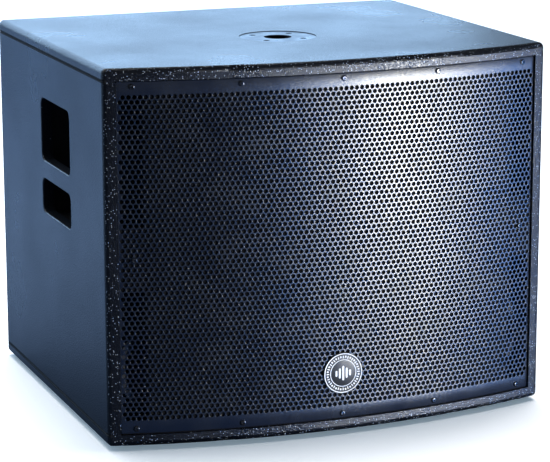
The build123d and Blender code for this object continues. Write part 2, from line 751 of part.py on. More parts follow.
def woofer_basket():
    """The cast frame: a flange, a windowed cone and a ring for the magnet."""
    neck = BASKET_NECK
    ledge = SPIDER_RADIUS - 4
    basket = turned(
        (FRAME_RADIUS, 0),
        (BASKET_TOP, 0),
        (neck, BASKET_FOOT),
        (neck, -BASKET_DEPTH),
        (GAP_RADIUS + 3, -BASKET_DEPTH),
        (GAP_RADIUS + 3, BASKET_WALL - BASKET_DEPTH),
        (neck - 6, BASKET_WALL - BASKET_DEPTH),
        (neck - 6, -SPIDER_DEPTH - 4),
        (ledge, -SPIDER_DEPTH - 4),
        (ledge, -SPIDER_DEPTH),
        (neck - BASKET_WALL, -SPIDER_DEPTH),
        (BASKET_TOP - BASKET_WALL, 2),
        (SURROUND_OUTER, FRAME_FLANGE),
        (FRAME_RADIUS, FRAME_FLANGE),
    )
    half = WINDOW_ANGLE / 2
    near = ledge + 20
    far = CUTOUT_RADIUS - 16
    corners = [
        (radius * math.cos(math.radians(angle)), radius * math.sin(math.radians(angle)))
        for radius, angle in ((near, -half), (far, -half), (far, half), (near, half))
    ]
    window = extrude(make_face(Polyline(*corners, close=True)), SPIDER_DEPTH, dir=(0, 0, -1))
    for place in round_places(0, BASKET_WINDOWS):
        basket -= place * Pos(0, 0, -4) * window
    for place in round_places(WOOFER_BOLT_CIRCLE, WOOFER_BOLTS, 180 / WOOFER_BOLTS):
        basket -= place * disc(BOLT_RADIUS + FIT, -1, FRAME_FLANGE + 1)
    return on_woofer() * basket


def woofer_gasket():
    """The gasket ring on the frame, cut out round the bolt heads."""
    gasket = ring(FRAME_RADIUS, SURROUND_LIP + 0.2, FRAME_FLANGE, FRAME_FLANGE + GASKET)
    for place in round_places(WOOFER_BOLT_CIRCLE, WOOFER_BOLTS, 180 / WOOFER_BOLTS):
        gasket -= place * disc(BOLT_HEAD + 1, FRAME_FLANGE - 1, FRAME_FLANGE + GASKET + 1)
    return on_woofer() * gasket


def woofer_surround():
    """The half-roll surround between the frame and the cone."""
    roll = (SURROUND_OUTER - SURROUND_INNER) / 2
    middle = (SURROUND_OUTER + SURROUND_INNER) / 2
    torus = Pos(0, 0, FRAME_FLANGE) * (Torus(middle, roll) - Torus(middle, roll - SURROUND_SHEET))
    torus &= ring(SURROUND_OUTER, SURROUND_INNER, FRAME_FLANGE, FRAME_FLANGE + 2 * roll)
    top = FRAME_FLANGE + SURROUND_SHEET
    lips = ring(SURROUND_LIP, SURROUND_OUTER - SURROUND_SHEET / 2, FRAME_FLANGE, top)
    skirt = ring(SURROUND_INNER + SURROUND_SHEET / 2, SURROUND_INNER - 6, FRAME_FLANGE, top)
    return on_woofer() * (torus + lips + skirt)


def cone_z(radius):
    """Height of the cone's front face at a radius."""
    run = SURROUND_INNER - 6 - COIL_RADIUS
    top = FRAME_FLANGE + CONE_TOP
    return top - (CONE_NECK_DEPTH + top) * (SURROUND_INNER - 6 - radius) / run


def woofer_cone():
    """The paper cone, from the surround's skirt to the voice coil's former."""
    outer = SURROUND_INNER - 6
    inner = COIL_RADIUS
    lip = SURROUND_INNER - 0.5
    top = FRAME_FLANGE
    cone = turned(
        (lip, top),
        (lip, top - CONE_SHEET),
        (outer, top - 2 * CONE_SHEET),
        (inner, cone_z(inner) - CONE_SHEET),
        (inner, cone_z(inner)),
        (outer - 1, top),
    )
    return on_woofer() * cone


def dust_cap():
    """The dome over the voice coil, glued to the cone."""
    edge = cone_z(CAP_RADIUS) + 1
    radius = (CAP_RADIUS**2 + CAP_RISE**2) / (2 * CAP_RISE)
    centre = edge + CAP_RISE - radius
    dome = Pos(0, 0, centre) * (Sphere(radius) - Sphere(radius - CONE_SHEET))
    return on_woofer() * (dome & disc(CAP_RADIUS, edge, edge + CAP_RISE + 1))


def voice_coil():
    """The former and its winding."""
    top = cone_z(COIL_RADIUS) + 6
    former = ring(COIL_RADIUS, COIL_RADIUS - FORMER_WALL, COIL_LOW, top)
    winding = ring(COIL_RADIUS + WINDING, COIL_RADIUS - 0.1, COIL_LOW, COIL_LOW + WINDING_LENGTH)
    return on_woofer() * (former + winding)


def woofer_spider():
    """The corrugated spider between the frame's ledge and the former."""
    inner = COIL_RADIUS + 0.3
    waves = 5
    flat = SPIDER_RADIUS - 5
    steps = 2 * waves
    swing = 2.0
    upper = [(SPIDER_RADIUS, -SPIDER_DEPTH + SPIDER_SHEET)]
    lower = [(SPIDER_RADIUS, -SPIDER_DEPTH)]
    for i in range(steps + 1):
        radius = flat - (flat - inner) * i / steps
        height = -SPIDER_DEPTH + (swing if i % 2 else 0)
        upper.append((radius, height + SPIDER_SHEET))
        lower.append((radius, height))
    return on_woofer() * turned(*upper, *reversed(lower))


def top_plate():
    """The magnet's front plate, round the voice coil's gap."""
    return on_woofer() * ring(TOP_PLATE_RADIUS, GAP_RADIUS, MAGNET_TOP, -BASKET_DEPTH)


def magnet():
    """The ferrite ring."""
    body = ring(MAGNET_RADIUS, MAGNET_BORE, MAGNET_LOW, MAGNET_TOP)
    outer = body.edges().filter_by(GeomType.CIRCLE).sort_by(SortBy.RADIUS)[-2:]
    return on_woofer() * chamfer(outer, 1.5)


def back_plate():
    """The back plate with its vented pole."""
    pole = COIL_RADIUS - FORMER_WALL - COIL_GAP
    plate = disc(TOP_PLATE_RADIUS + 5, MAGNET_LOW - BACK_PLATE, MAGNET_LOW)
    plate += disc(pole, MAGNET_LOW, -BASKET_DEPTH)
    return on_woofer() * (plate - disc(POLE_VENT, MAGNET_LOW - BACK_PLATE - 1, -BASKET_DEPTH + 1))


def woofer_bolts():
    """The bolts that hold the woofer on the baffle."""
    one = screw(BOLT_HEAD, BOLT_HEAD_HEIGHT, BOLT_RADIUS, BOLT_LENGTH)
    places = round_places(WOOFER_BOLT_CIRCLE, WOOFER_BOLTS, 180 / WOOFER_BOLTS)
    return group([on_woofer() * place * Pos(0, 0, FRAME_FLANGE) * one for place in places])


def woofer_tee_nuts():
    """The tee nuts in the back of the baffle."""
    nut = disc(TEE_BARREL_RADIUS, -BAFFLE, TEE_BARREL_LENGTH - BAFFLE)
    nut += disc(TEE_FLANGE_RADIUS, -BAFFLE - TEE_FLANGE, -BAFFLE)
    nut -= disc(BOLT_RADIUS + FIT, -BAFFLE - TEE_FLANGE - 1, 1)
    places = round_places(WOOFER_BOLT_CIRCLE, WOOFER_BOLTS, 180 / WOOFER_BOLTS)
    return group([on_woofer() * place * nut for place in places])


def terminal_block():
    """The terminal block on one of the basket's spokes."""
    block = box((TERMINAL_R - 12, TERMINAL_R + 8), around(0, 22), around(TERMINAL_Z, 14))
    edge = BASKET_TOP + SLACK
    neck = BASKET_NECK + SLACK
    cone = turned((0, 0), (edge, 0), (neck, BASKET_FOOT), (0, BASKET_FOOT))
    block -= cone
    for y in (-1.8, 1.8):
        block += box((TERMINAL_R + 7, TERMINAL_R + TERMINAL_TAG), around(y, 0.8), around(TERMINAL_Z, 4))
    return on_woofer() * Rot(0, 0, TERMINAL_TURN) * block


def lead(radius, points, radii):
    """A round lead along straight runs joined by arcs."""
    path = FilletPolyline(*points, radius=radii)
    start = Plane(origin=path @ 0, z_dir=path % 0)
    return sweep(start * Circle(radius), path=path)


def tinsel_leads():
    """The two flexible leads from the terminal spoke to the voice coil's neck."""
    leads = []
    inner = TERMINAL_R - BASKET_WALL * 1.75
    for y in (-6, 6):
        end = cone_z(COIL_RADIUS + 6) - CONE_SHEET - 2.4
        points = [
            (inner, y, TERMINAL_Z),
            (inner - 14, y, TERMINAL_Z - 3),
            (COIL_RADIUS + 16, y * 0.8, end - 4),
            (COIL_RADIUS + 6, y * 0.7, end),
        ]
        leads.append(lead(0.8, points, [12, 8]))
    return on_woofer() * Rot(0, 0, TERMINAL_TURN) * group(leads)


def speaker_lead():
    """The lead from the amplifier's case through the brace to the woofer's terminals."""
    tags = on_woofer() * Rot(0, 0, TERMINAL_TURN) * Pos(TERMINAL_R + TERMINAL_TAG + 3 * SLACK, 0, TERMINAL_Z)
    end = tags.position
    gland = MIDDLE - CASE_Z + 25
    points = [
        (30, AMP_FLOOR, gland),
        (30, AMP_FLOOR - 48, gland),
        (25, AMP_FLOOR - 108, gland - 20),
        (15, AMP_FLOOR - 168, end.Z - 12),
        (6, AMP_FLOOR - 222, end.Z - 33),
        (0, end.Y + 5, end.Z - 26),
        (0, end.Y, end.Z),
    ]
    radii = []
    for before, here, after in zip(points, points[1:], points[2:]):
        first = Vector(*here) - Vector(*before)
        second = Vector(*after) - Vector(*here)
        turn = math.radians(first.get_angle(second))
        radii.append(0.45 * min(first.length, second.length) / math.tan(turn / 2))
    print("speaker lead radii", [round(radius, 1) for radius in radii])
    return lead(LEAD_RADIUS, points, radii)


def amp_screw_places():
    """The amplifier plate's screws, along its edge."""
    across = AMP_WIDTH / 2 - AMP_SCREW_EDGE
    up = AMP_HEIGHT / 2 - AMP_SCREW_EDGE
    spots = [(x, z) for x in (-across, 0, across) for z in (-up, up)]
    spots += [(x, 0) for x in (-across, across)]
    return [on_rear(x, MIDDLE + z) for x, z in spots]


def amp_faceplate():
    """The amplifier's plate, with holes for everything that it carries."""
    plate = box(around(0, AMP_WIDTH), (REAR_FACE, AMP_OUTER), around(MIDDLE, AMP_HEIGHT))
    plate = rounded(plate, Axis.Y, AMP_CORNER)
    for place in amp_screw_places():
        plate -= place * disc(AMP_SCREW_RADIUS + FIT, -2 * AMP_PLATE, 1)
    for x in INPUT_X:
        plate -= on_rear(x, SOCKET_Z) * disc(XLR_BODY_RADIUS + FIT, -2 * AMP_PLATE, 1)
        slot = box(around(0, LATCH_WIDTH + 4 * SLACK), around(-LATCH_Y, LATCH_HEIGHT + 4 * SLACK), (-5, 1))
        plate -= on_rear(x, SOCKET_Z) * slot
    for x in OUTPUT_X:
        plate -= on_rear(x, SOCKET_Z) * disc(XLR_BODY_RADIUS + FIT, -2 * AMP_PLATE, 1)
    for x in (LEVEL_X, CROSSOVER_X):
        plate -= on_rear(x, CONTROL_Z) * disc(BUSH_RADIUS + FIT, -2 * AMP_PLATE, 1)
    plate -= on_rear(PHASE_X, CONTROL_Z) * disc(BUTTON_RADIUS + SLACK, -2 * AMP_PLATE, 1)
    for x in LED_X:
        plate -= on_rear(x, CONTROL_Z) * disc(LED_RADIUS + FIT, -2 * AMP_PLATE, 1)
    inlet = box(around(0, INLET_BODY[0] + 0.2), around(0, INLET_BODY[1] + 0.2), (-5, 1))
    plate -= on_rear(INLET_X, SOCKET_Z) * inlet
    switch = box(around(0, SWITCH_WIDTH - 1.8), around(0, SWITCH_HEIGHT - 1.8), (-5, 1))
    plate -= on_rear(SWITCH_X, SOCKET_Z) * switch
    return plate


def amp_screws():
    """The screws of the amplifier's plate."""
    one = screw(AMP_SCREW_HEAD, AMP_HEAD_HEIGHT, AMP_SCREW_RADIUS, AMP_SCREW_LENGTH)
    return group([place * one for place in amp_screw_places()])


def amp_heatsink():
    """The finned heatsink on the upper half of the plate."""
    low = MIDDLE + AMP_HEIGHT / 2 - AMP_LIP - SINK_HEIGHT
    high = low + SINK_HEIGHT
    sink = box(around(0, SINK_WIDTH), (AMP_OUTER, AMP_OUTER + SINK_BASE), (low, high))
    pitch = (SINK_WIDTH - FIN) / (SINK_FINS - 1)
    for i in range(SINK_FINS):
        x = -SINK_WIDTH / 2 + FIN / 2 + pitch * i
        sink += box(around(x, FIN), (AMP_OUTER, AMP_OUTER + SINK_DEPTH), (low, high))
    return sink


def board_places():
    """The bosses under the circuit board."""
    return [(x, MIDDLE + z) for x in BOSS_X for z in (-BOSS_Z, BOSS_Z)]


def amp_case():
    """The sheet case behind the plate, with the board's bosses."""
    case = box((-CASE_X, CASE_X), (AMP_FLOOR, REAR_FACE), around(MIDDLE, 2 * CASE_Z))
    inner_x = CASE_X - AMP_SHEET
    case -= box(
        (-inner_x, inner_x),
        (AMP_FLOOR + AMP_SHEET, REAR_FACE + 1),
        around(MIDDLE, 2 * (CASE_Z - AMP_SHEET)),
    )
    for x, z in board_places():
        case += Pos(x, AMP_FLOOR, z) * Rot(-90, 0, 0) * disc(BOSS_RADIUS, AMP_SHEET / 2, BOARD_STAND)
    return case


def amp_board():
    """The amplifier's circuit board with its larger parts."""
    low = AMP_FLOOR + BOARD_STAND
    top = low + BOARD
    board = box(BOARD_X, (low, top), around(MIDDLE, 2 * (CASE_Z - BOARD_GAP)))
    for x, z, width, height, rise in BOARD_PARTS:
        board += box(around(x, width), (top - BOARD / 2, top + rise), around(MIDDLE + z, height))
    return board


def capacitors():
    """The four reservoir capacitors on the board."""
    top = AMP_FLOOR + BOARD_STAND + BOARD
    can = disc(CAN_RADIUS, 0, CAN_HEIGHT)
    can = fillet(can.edges().filter_by(GeomType.CIRCLE).sort_by(Axis.Z)[-1], CAN_ROUND)
    return group([Pos(x, top, MIDDLE + z) * Rot(-90, 0, 0) * can for x in CAN_X for z in CAN_Z])


def transformer():
    """The toroidal transformer on the case's floor."""
    core = ring(CORE_RADIUS, CORE_BORE, 0, CORE_HEIGHT)
    core = fillet(core.edges().filter_by(GeomType.CIRCLE), CORE_ROUND)
    x = CASE_X - AMP_SHEET - CORE_GAP - CORE_RADIUS
    return Pos(x, AMP_FLOOR + AMP_SHEET, MIDDLE) * Rot(-90, 0, 0) * core


def xlr_flange():
    """A socket's flange with rounded corners and its round body behind the plate."""
    flange = rounded(box(around(0, XLR_WIDTH), around(0, XLR_HEIGHT), (0, XLR_FLANGE)), Axis.Z, XLR_CORNER)
    for x, y in ((-XLR_SCREW_X, XLR_SCREW_Y), (XLR_SCREW_X, -XLR_SCREW_Y)):
        flange += Pos(x, y, 0) * (Pos(0, 0, XLR_FLANGE + 0.4) * Cylinder(2.4, 1.2))
        flange -= Pos(x, y, XLR_FLANGE + 0.6) * extrude(RegularPolygon(1.2, 6), 2)
    return flange + disc(XLR_BODY_RADIUS, -XLR_BODY_DEPTH, 0)


def input_socket():
    """A female socket, with a contact insert and a slot for its latch."""
    body = xlr_flange()
    body -= disc(XLR_BORE, XLR_FLANGE - XLR_BORE_DEPTH, XLR_FLANGE + 1)
    insert = disc(XLR_INSERT, XLR_FLANGE - XLR_BORE_DEPTH - 1, XLR_FLANGE - XLR_SUNK)
    for place in round_places(XLR_PIN_CIRCLE, 3, 90):
        insert -= place * disc(XLR_PIN + 0.4, XLR_FLANGE - XLR_BORE_DEPTH, XLR_FLANGE)
    body += insert
    slot = box(
        around(0, LATCH_WIDTH + 2 * SLACK),
        around(-LATCH_Y, LATCH_HEIGHT + 2 * SLACK),
        (XLR_FLANGE + LATCH_PROUD - LATCH_LENGTH - LATCH_TRAVEL - SLACK, XLR_FLANGE + 1),
    )
    return body - slot


def output_socket():
    """A male socket: an open shell round three pins."""
    body = xlr_flange()
    floor = XLR_FLANGE - XLR_BORE_DEPTH
    body -= disc(XLR_BORE, floor, XLR_FLANGE + 1)
    for place in round_places(XLR_PIN_CIRCLE, 3, 90):
        body += place * disc(XLR_PIN, floor - 1, XLR_FLANGE - 3)
    return body


def latch():
    """The release tab of an input socket."""
    high = XLR_FLANGE + LATCH_PROUD
    tab = box(around(0, LATCH_WIDTH), around(-LATCH_Y, LATCH_HEIGHT), (high - LATCH_LENGTH, high))
    return fillet(tab.faces().sort_by(Axis.Z)[-1].edges(), 0.6)


def mains_inlet():
    """The three-pin mains inlet, with no lead in it."""
    flange = rounded(box(around(0, INLET_WIDTH), around(0, INLET_HEIGHT), (0, INLET_FLANGE)), Axis.Z, 5)
    body = box(around(0, INLET_BODY[0]), around(0, INLET_BODY[1]), (-INLET_DEPTH, 1))
    hollow = box(
        around(0, INLET_BODY[0] - 2 * INLET_WALL),
        around(0, INLET_BODY[1] - 2 * INLET_WALL),
        (INLET_WALL - INLET_DEPTH, INLET_FLANGE + 1),
    )
    hollow = rounded(hollow, Axis.Z, 2.5)
    inlet = flange + body - hollow
    for x, y in ((-7.0, 2.0), (7.0, 2.0), (0.0, -2.0)):
        low = INLET_WALL - INLET_DEPTH
        inlet += box(around(x, BLADE[0]), around(y, BLADE[1]), (low - 0.5, low + BLADE_LENGTH))
    for x in (-20, 20):
        inlet += Pos(x, 0, INLET_FLANGE) * disc(3, -0.2, 1.4)
        inlet -= Pos(x, 0, INLET_FLANGE + 0.6) * extrude(RegularPolygon(1.4, 6), 2)
    return on_rear(INLET_X, SOCKET_Z) * inlet


def power_switch_housing():
    """The power switch's frame, with bearings for the rocker's pin."""
    flange = rounded(box(around(0, SWITCH_WIDTH), around(0, SWITCH_HEIGHT), (0, SWITCH_FLANGE)), Axis.Z, 2)
    body = box(around(0, SWITCH_WIDTH - 2), around(0, SWITCH_HEIGHT - 2), (-SWITCH_DEPTH, 1))
    hollow = box(around(0, ROCKER_X), around(0, ROCKER_Y), (2 - SWITCH_DEPTH, SWITCH_FLANGE + 1))
    bearing = Rot(0, 90, 0) * disc(ROCKER_PIN + FIT, -ROCKER_X / 2 - 1.6, ROCKER_X / 2 + 1.6)
    return on_rear(SWITCH_X, SOCKET_Z) * (flange + body - hollow - bearing)


def power_rocker():
    """The rocker on its pin, at rest with its upper end pressed in."""
    reach = ROCKER_Y / 2 - 0.4
    half = reach - 0.4
    points = [(-half, -5.0), (half, -5.0), (half, 4.4), (0.0, 2.0), (-half, 4.4)]
    outline = Plane.YZ * make_face(Polyline(*points, close=True))
    width = ROCKER_X - 2 * SLACK
    rocker = Pos(-width / 2, 0, 0) * extrude(outline, width, dir=(1, 0, 0))
    rocker &= Rot(0, 90, 0) * disc(reach, -width, width)
    rocker += Rot(0, 90, 0) * disc(ROCKER_PIN, -ROCKER_X / 2 - 1.4, ROCKER_X / 2 + 1.4)
    return on_rear(SWITCH_X, SOCKET_Z) * Rot(ROCKER_TILT, 0, 0) * rocker


def knob(x):
    """A fluted knob with a pointer groove."""
    body = disc(KNOB_RADIUS, KNOB_LIFT, KNOB_HEIGHT)
    body = fillet(body.edges().sort_by(Axis.Z)[-1], KNOB_ROUND)
    for place in round_places(KNOB_RADIUS + KNOB_FLUTE_RADIUS / 2, KNOB_FLUTES, 180 / KNOB_FLUTES):
        body -= place * disc(KNOB_FLUTE_RADIUS, KNOB_LIFT + KNOB_SKIRT, KNOB_HEIGHT + 1)
    pointer = ((-KNOB_RADIUS - 1, -POINTER_START), (KNOB_HEIGHT - POINTER_DEPTH, KNOB_HEIGHT + 1))
    body -= box(around(0, POINTER_WIDTH), *pointer)
    body -= disc(SHAFT_RADIUS + FIT, 0, KNOB_HEIGHT - KNOB_ROOF)
    return on_rear(x, CONTROL_Z) * body


def pot_shaft(x):
    """A control's shaft, from its housing into its knob."""
    return on_rear(x, CONTROL_Z) * disc(SHAFT_RADIUS, POT_FLOOR, KNOB_HEIGHT - KNOB_ROOF - FIT)


def potentiometers():
    """The housings of the two controls, with their bushes through the plate."""
    body = box(around(0, POT_WIDTH), around(0, POT_WIDTH), (-AMP_PLATE - POT_DEPTH, -AMP_PLATE))
    body = rounded(body, Axis.Z, 2)
    body += disc(BUSH_RADIUS, -AMP_PLATE, 0)
    body -= disc(SHAFT_RADIUS + FIT, POT_FLOOR - FIT, 1)
    return group([on_rear(x, CONTROL_Z) * body for x in (LEVEL_X, CROSSOVER_X)])


def phase_button():
    """The phase button's plunger."""
    plunger = disc(BUTTON_RADIUS, -AMP_PLATE - BUTTON_TAIL, BUTTON_PROUD)
    plunger = fillet(plunger.edges().sort_by(Axis.Z)[-1], 0.8)
    return on_rear(PHASE_X, CONTROL_Z) * plunger


def phase_switch():
    """The phase button's housing behind the plate."""
    body = box(around(0, PHASE_HOUSING), around(0, PHASE_HOUSING), (-AMP_PLATE - PHASE_DEPTH, -AMP_PLATE))
    body -= disc(BUTTON_RADIUS + SLACK, -AMP_PLATE - BUTTON_TAIL - BUTTON_TRAVEL - SLACK, 0)
    return on_rear(PHASE_X, CONTROL_Z) * body


def status_leds():
    """The three indicator lamps in the plate."""
    lamp = disc(LED_RADIUS, -AMP_PLATE - LED_TAIL, LED_PROUD)
    lamp = fillet(lamp.edges().sort_by(Axis.Z)[-1], 1.0)
    lamp += disc(LED_RADIUS + LED_RIM, -AMP_PLATE - LED_TAIL, -AMP_PLATE)
    return group([on_rear(x, CONTROL_Z) * lamp for x in LED_X])


def damping_pads():
    """The wadding on the side walls and under the top panel, behind the brace."""
    front = BRACE_FRONT + BRACE + SOFT_GAP
    back = REAR_INNER - SOFT_GAP
    low = INNER_LOW + SOFT_GAP
    high = INNER_HIGH - SOFT_GAP
    pads = []
    for side in (-1, 1):
        span = (side * (INNER_X - SOFT_GAP), side * (INNER_X - SOFT_GAP - PAD))
        pads.append(box((min(span), max(span)), (front, back), (low, high)))
    half = INNER_X - PAD - 3 * SOFT_GAP
    pads.append(box((-half, half), (front, back), (high - PAD, high)))
    pads.append(box((-half, half), (front, back), (low, low + PAD)))
    return group([rounded(pad, Axis.Y, PAD_ROUND) for pad in pads])


def build():
    """Every sub-part by node name."""
    cabinet = cabinet_solid()
    grooves = side_grooves()
    low_row = INNER_LOW + GRILLE_SCREW_EDGE
    high_row = INNER_HIGH - GRILLE_SCREW_EDGE
    return {
        "top_panel": top_panel(cabinet, grooves),
        "bottom_panel": bottom_panel(cabinet, grooves),
        "left_side_panel": side_panel(cabinet, grooves, -1),
        "right_side_panel": side_panel(cabinet, grooves, 1),
        "rear_panel": rear_panel(),
        "front_baffle": front_baffle(),
        "window_brace": window_brace(),
        "grille_batten_top": grille_batten(INNER_HIGH - PANEL, INNER_HIGH, high_row),
        "grille_batten_bottom": grille_batten(INNER_LOW, INNER_LOW + PANEL, low_row),
        "grille_blocks": grille_blocks(),
        "grille": grille(),
        "grille_foam": grille_foam(),
        "grille_screws": grille_screws(),
        "badge": badge(),
        "badge_clips": badge_clips(),
        "rubber_feet": rubber_feet(),
        "wood_screws": wood_screws(),
        "handle_cup_left": handle_cup(-1),
        "handle_cup_right": handle_cup(1),
        "pole_socket": pole_socket(),
        "pole_socket_screws": pole_socket_screws(),
        "port_tubes": port_tubes(),
        "woofer_basket": woofer_basket(),
        "woofer_gasket": woofer_gasket(),
        "woofer_surround": woofer_surround(),
        "woofer_cone": woofer_cone(),
        "dust_cap": dust_cap(),
        "voice_coil": voice_coil(),
        "woofer_spider": woofer_spider(),
        "top_plate": top_plate(),
        "magnet": magnet(),
        "back_plate": back_plate(),
        "woofer_bolts": woofer_bolts(),
        "woofer_tee_nuts": woofer_tee_nuts(),
        "terminal_block": terminal_block(),
        "tinsel_leads": tinsel_leads(),
        "speaker_lead": speaker_lead(),
        "amp_faceplate": amp_faceplate(),
        "amp_heatsink": amp_heatsink(),
        "amp_case": amp_case(),
        "amp_board": amp_board(),
        "capacitors": capacitors(),
        "transformer": transformer(),
        "amp_screws": amp_screws(),
        "input_sockets": group([on_rear(x, SOCKET_Z) * input_socket() for x in INPUT_X]),
        "output_sockets": group([on_rear(x, SOCKET_Z) * output_socket() for x in OUTPUT_X]),
        "latch_a": on_rear(INPUT_X[0], SOCKET_Z) * latch(),
        "latch_b": on_rear(INPUT_X[1], SOCKET_Z) * latch(),
        "mains_inlet": mains_inlet(),
        "power_switch_housing": power_switch_housing(),
        "power_rocker": power_rocker(),
        "level_knob": knob(LEVEL_X),
        "crossover_knob": knob(CROSSOVER_X),
        "level_shaft": pot_shaft(LEVEL_X),
        "crossover_shaft": pot_shaft(CROSSOVER_X),
        "potentiometers": potentiometers(),
        "phase_button": phase_button(),
        "phase_switch": phase_switch(),
        "status_leds": status_leds(),
        "damping_pads": damping_pads(),
    }


os.makedirs("parts", exist_ok=True)
for node, shape in build().items():
    export_step(shape, f"parts/{node}.step")
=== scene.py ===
import math

import bmesh
import bpy
import numpy as np
from mathutils import Matrix, Vector, noise


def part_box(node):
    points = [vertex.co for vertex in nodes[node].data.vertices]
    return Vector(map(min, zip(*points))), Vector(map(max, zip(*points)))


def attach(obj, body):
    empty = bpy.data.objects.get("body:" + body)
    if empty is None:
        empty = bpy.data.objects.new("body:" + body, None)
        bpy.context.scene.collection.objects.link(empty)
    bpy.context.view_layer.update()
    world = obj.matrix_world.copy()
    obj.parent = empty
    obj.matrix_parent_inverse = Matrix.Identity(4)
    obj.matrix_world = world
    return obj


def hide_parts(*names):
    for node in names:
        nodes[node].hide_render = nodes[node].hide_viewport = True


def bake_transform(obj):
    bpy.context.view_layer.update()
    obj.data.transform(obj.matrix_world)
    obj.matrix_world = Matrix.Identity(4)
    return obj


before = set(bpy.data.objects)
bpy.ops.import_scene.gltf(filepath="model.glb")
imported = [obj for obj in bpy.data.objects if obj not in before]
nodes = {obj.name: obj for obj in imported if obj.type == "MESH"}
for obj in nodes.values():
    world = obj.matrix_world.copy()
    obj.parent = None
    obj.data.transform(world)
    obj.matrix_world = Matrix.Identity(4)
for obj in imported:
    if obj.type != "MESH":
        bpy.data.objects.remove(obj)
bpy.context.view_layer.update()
scene = bpy.context.scene
scene.view_settings.view_transform = "Standard"

# ---------------------------------------------------------------- sizes, in metres
# They repeat the CAD model's own, for the pieces made here.

BOW_CENTRE = 0.7744186  # Y of the bowed front's axis
BOW_RADIUS = 1.0334186
GRILLE_RADIUS = BOW_RADIUS - 0.003  # of the grille's outer face
GRILLE_SHEET = 0.0015
GRILLE_HALF_WIDTH = 0.2792
GRILLE_HALF_HEIGHT = 0.2192
GRILLE_BEND = 0.0016  # outer radius of the folds
GRILLE_FOLD = 0.009
GRILLE_MIDDLE = 0.240  # its height
HOLE_RADIUS = 0.00278
HOLE_SIDES = 10
COLUMN_PITCH = 0.00694
ROW_PITCH = 0.00606
ROWS = 67
COLUMNS = 80  # in the shorter rows
FOAM_THICKNESS = 0.005
BADGE_RADIUS = 0.0265
BADGE_Z = 0.080
WOOFER_Y = -0.194
WOOFER_Z = 0.240
SECTORS = 12
SECTOR_STEPS = 8
FACEPLATE_Y = 0.222
KNOB_X = (-0.128, -0.084)
KNOB_Z = 0.222

# ---------------------------------------------------------------- camera

CAMERA_PLACE = (-1.114, -2.873, 0.9073)
CAMERA_YAW = 21.362
CAMERA_PITCH = 12.79
CAMERA_ROLL = 0.121
CAMERA_LENS = 154.59
CAMERA_SENSOR = 36.0
CAMERA_REACH = 60.0


def make_camera():
    """A long lens that looks slightly down at the front from the left."""
    data = bpy.data.cameras.new("camera")
    data.lens = CAMERA_LENS
    data.sensor_width = CAMERA_SENSOR
    data.sensor_fit = "HORIZONTAL"
    data.clip_end = CAMERA_REACH
    camera = bpy.data.objects.new("camera", data)
    scene.collection.objects.link(camera)
    aim = Matrix.Rotation(math.radians(-CAMERA_YAW), 4, "Z")
    tip = Matrix.Rotation(math.radians(90.0 - CAMERA_PITCH), 4, "X")
    roll = Matrix.Rotation(math.radians(-CAMERA_ROLL), 4, "Z")
    camera.matrix_world = Matrix.Translation(CAMERA_PLACE) @ aim @ tip @ roll
    scene.camera = camera


# ---------------------------------------------------------------- studio

SKY_LEVEL = (0.80, 0.90, 1.0)
SKY_ABOVE = (0.55, 0.68, 0.88)
SKY_STRENGTH = 0.12
FLOOR_RADIUS = 14.0
FLOOR_GLOW = (0.60, 0.82, 1.0)
FLOOR_GLOW_STRENGTH = 0.26
# The floor as the object's light and mirror rays find it, from one Y to another: painted shade, darker near
# the front and lighter towards the back.
FLOOR_SPAN = (-0.5, 1.0)
FLOOR_NEAR_SHADE = (0.016, 0.027, 0.055)
FLOOR_FAR = (0.205, 0.325, 0.53)

# Place, target, width and height, watts, colour, and what the light falls on.
LIGHTS = {
    "floor_light": ((0.6, 0.6, 3.9), (0.3, -0.1, 0.0), (3.2, 2.6), 250.0, (1.0, 0.975, 0.98), "floor"),
    "backdrop_light": ((0.17, 5.0, 1.7), (0.0, 0.0, 0.5), (5.2, 3.0), 150.0, (0.41, 0.66, 1.0), "all"),
    "strip_light": ((1.62, -2.52, 0.04), (0.08, -0.25, 0.1), (0.95, 1.08), 99.0, (1.0, 0.96, 0.80), "object"),
    "blue_light": ((1.85, -2.55, -0.12), (0.08, -0.25, 0.1), (2.5, 1.35), 80.0, (0.10, 0.34, 1.0), "object"),
    "rear_light": ((1.4, 2.8, -0.25), (0.0, 0.25, 0.2), (3.0, 1.5), 75.0, (0.62, 0.80, 1.0), "object"),
    "top_light": ((-0.8, 1.5, 3.2), (-0.2, 0.3, 0.2), (3.4, 2.6), 60.0, (0.96, 0.985, 1.0), "all"),
    "left_light": ((-4.2, 1.6, 1.3), (-0.3, 0.0, 0.25), (2.4, 2.2), 36.0, (0.43, 0.69, 1.0), "all"),
}


def area_light(name, place, target, size, power, colour, receivers, blockers):
    """A soft light, unseen itself. The two collections limit what it lights and what shades it."""
    data = bpy.data.lights.new(name, "AREA")
    data.shape = "RECTANGLE"
    data.size, data.size_y = size
    data.energy = power
    data.color = colour
    light = bpy.data.objects.new(name, data)
    light.visible_camera = False
    light.light_linking.receiver_collection = receivers
    light.light_linking.blocker_collection = blockers
    scene.collection.objects.link(light)
    aim = (Vector(target) - Vector(place)).to_track_quat("-Z", "Y")
    light.matrix_world = Matrix.Translation(place) @ aim.to_matrix().to_4x4()


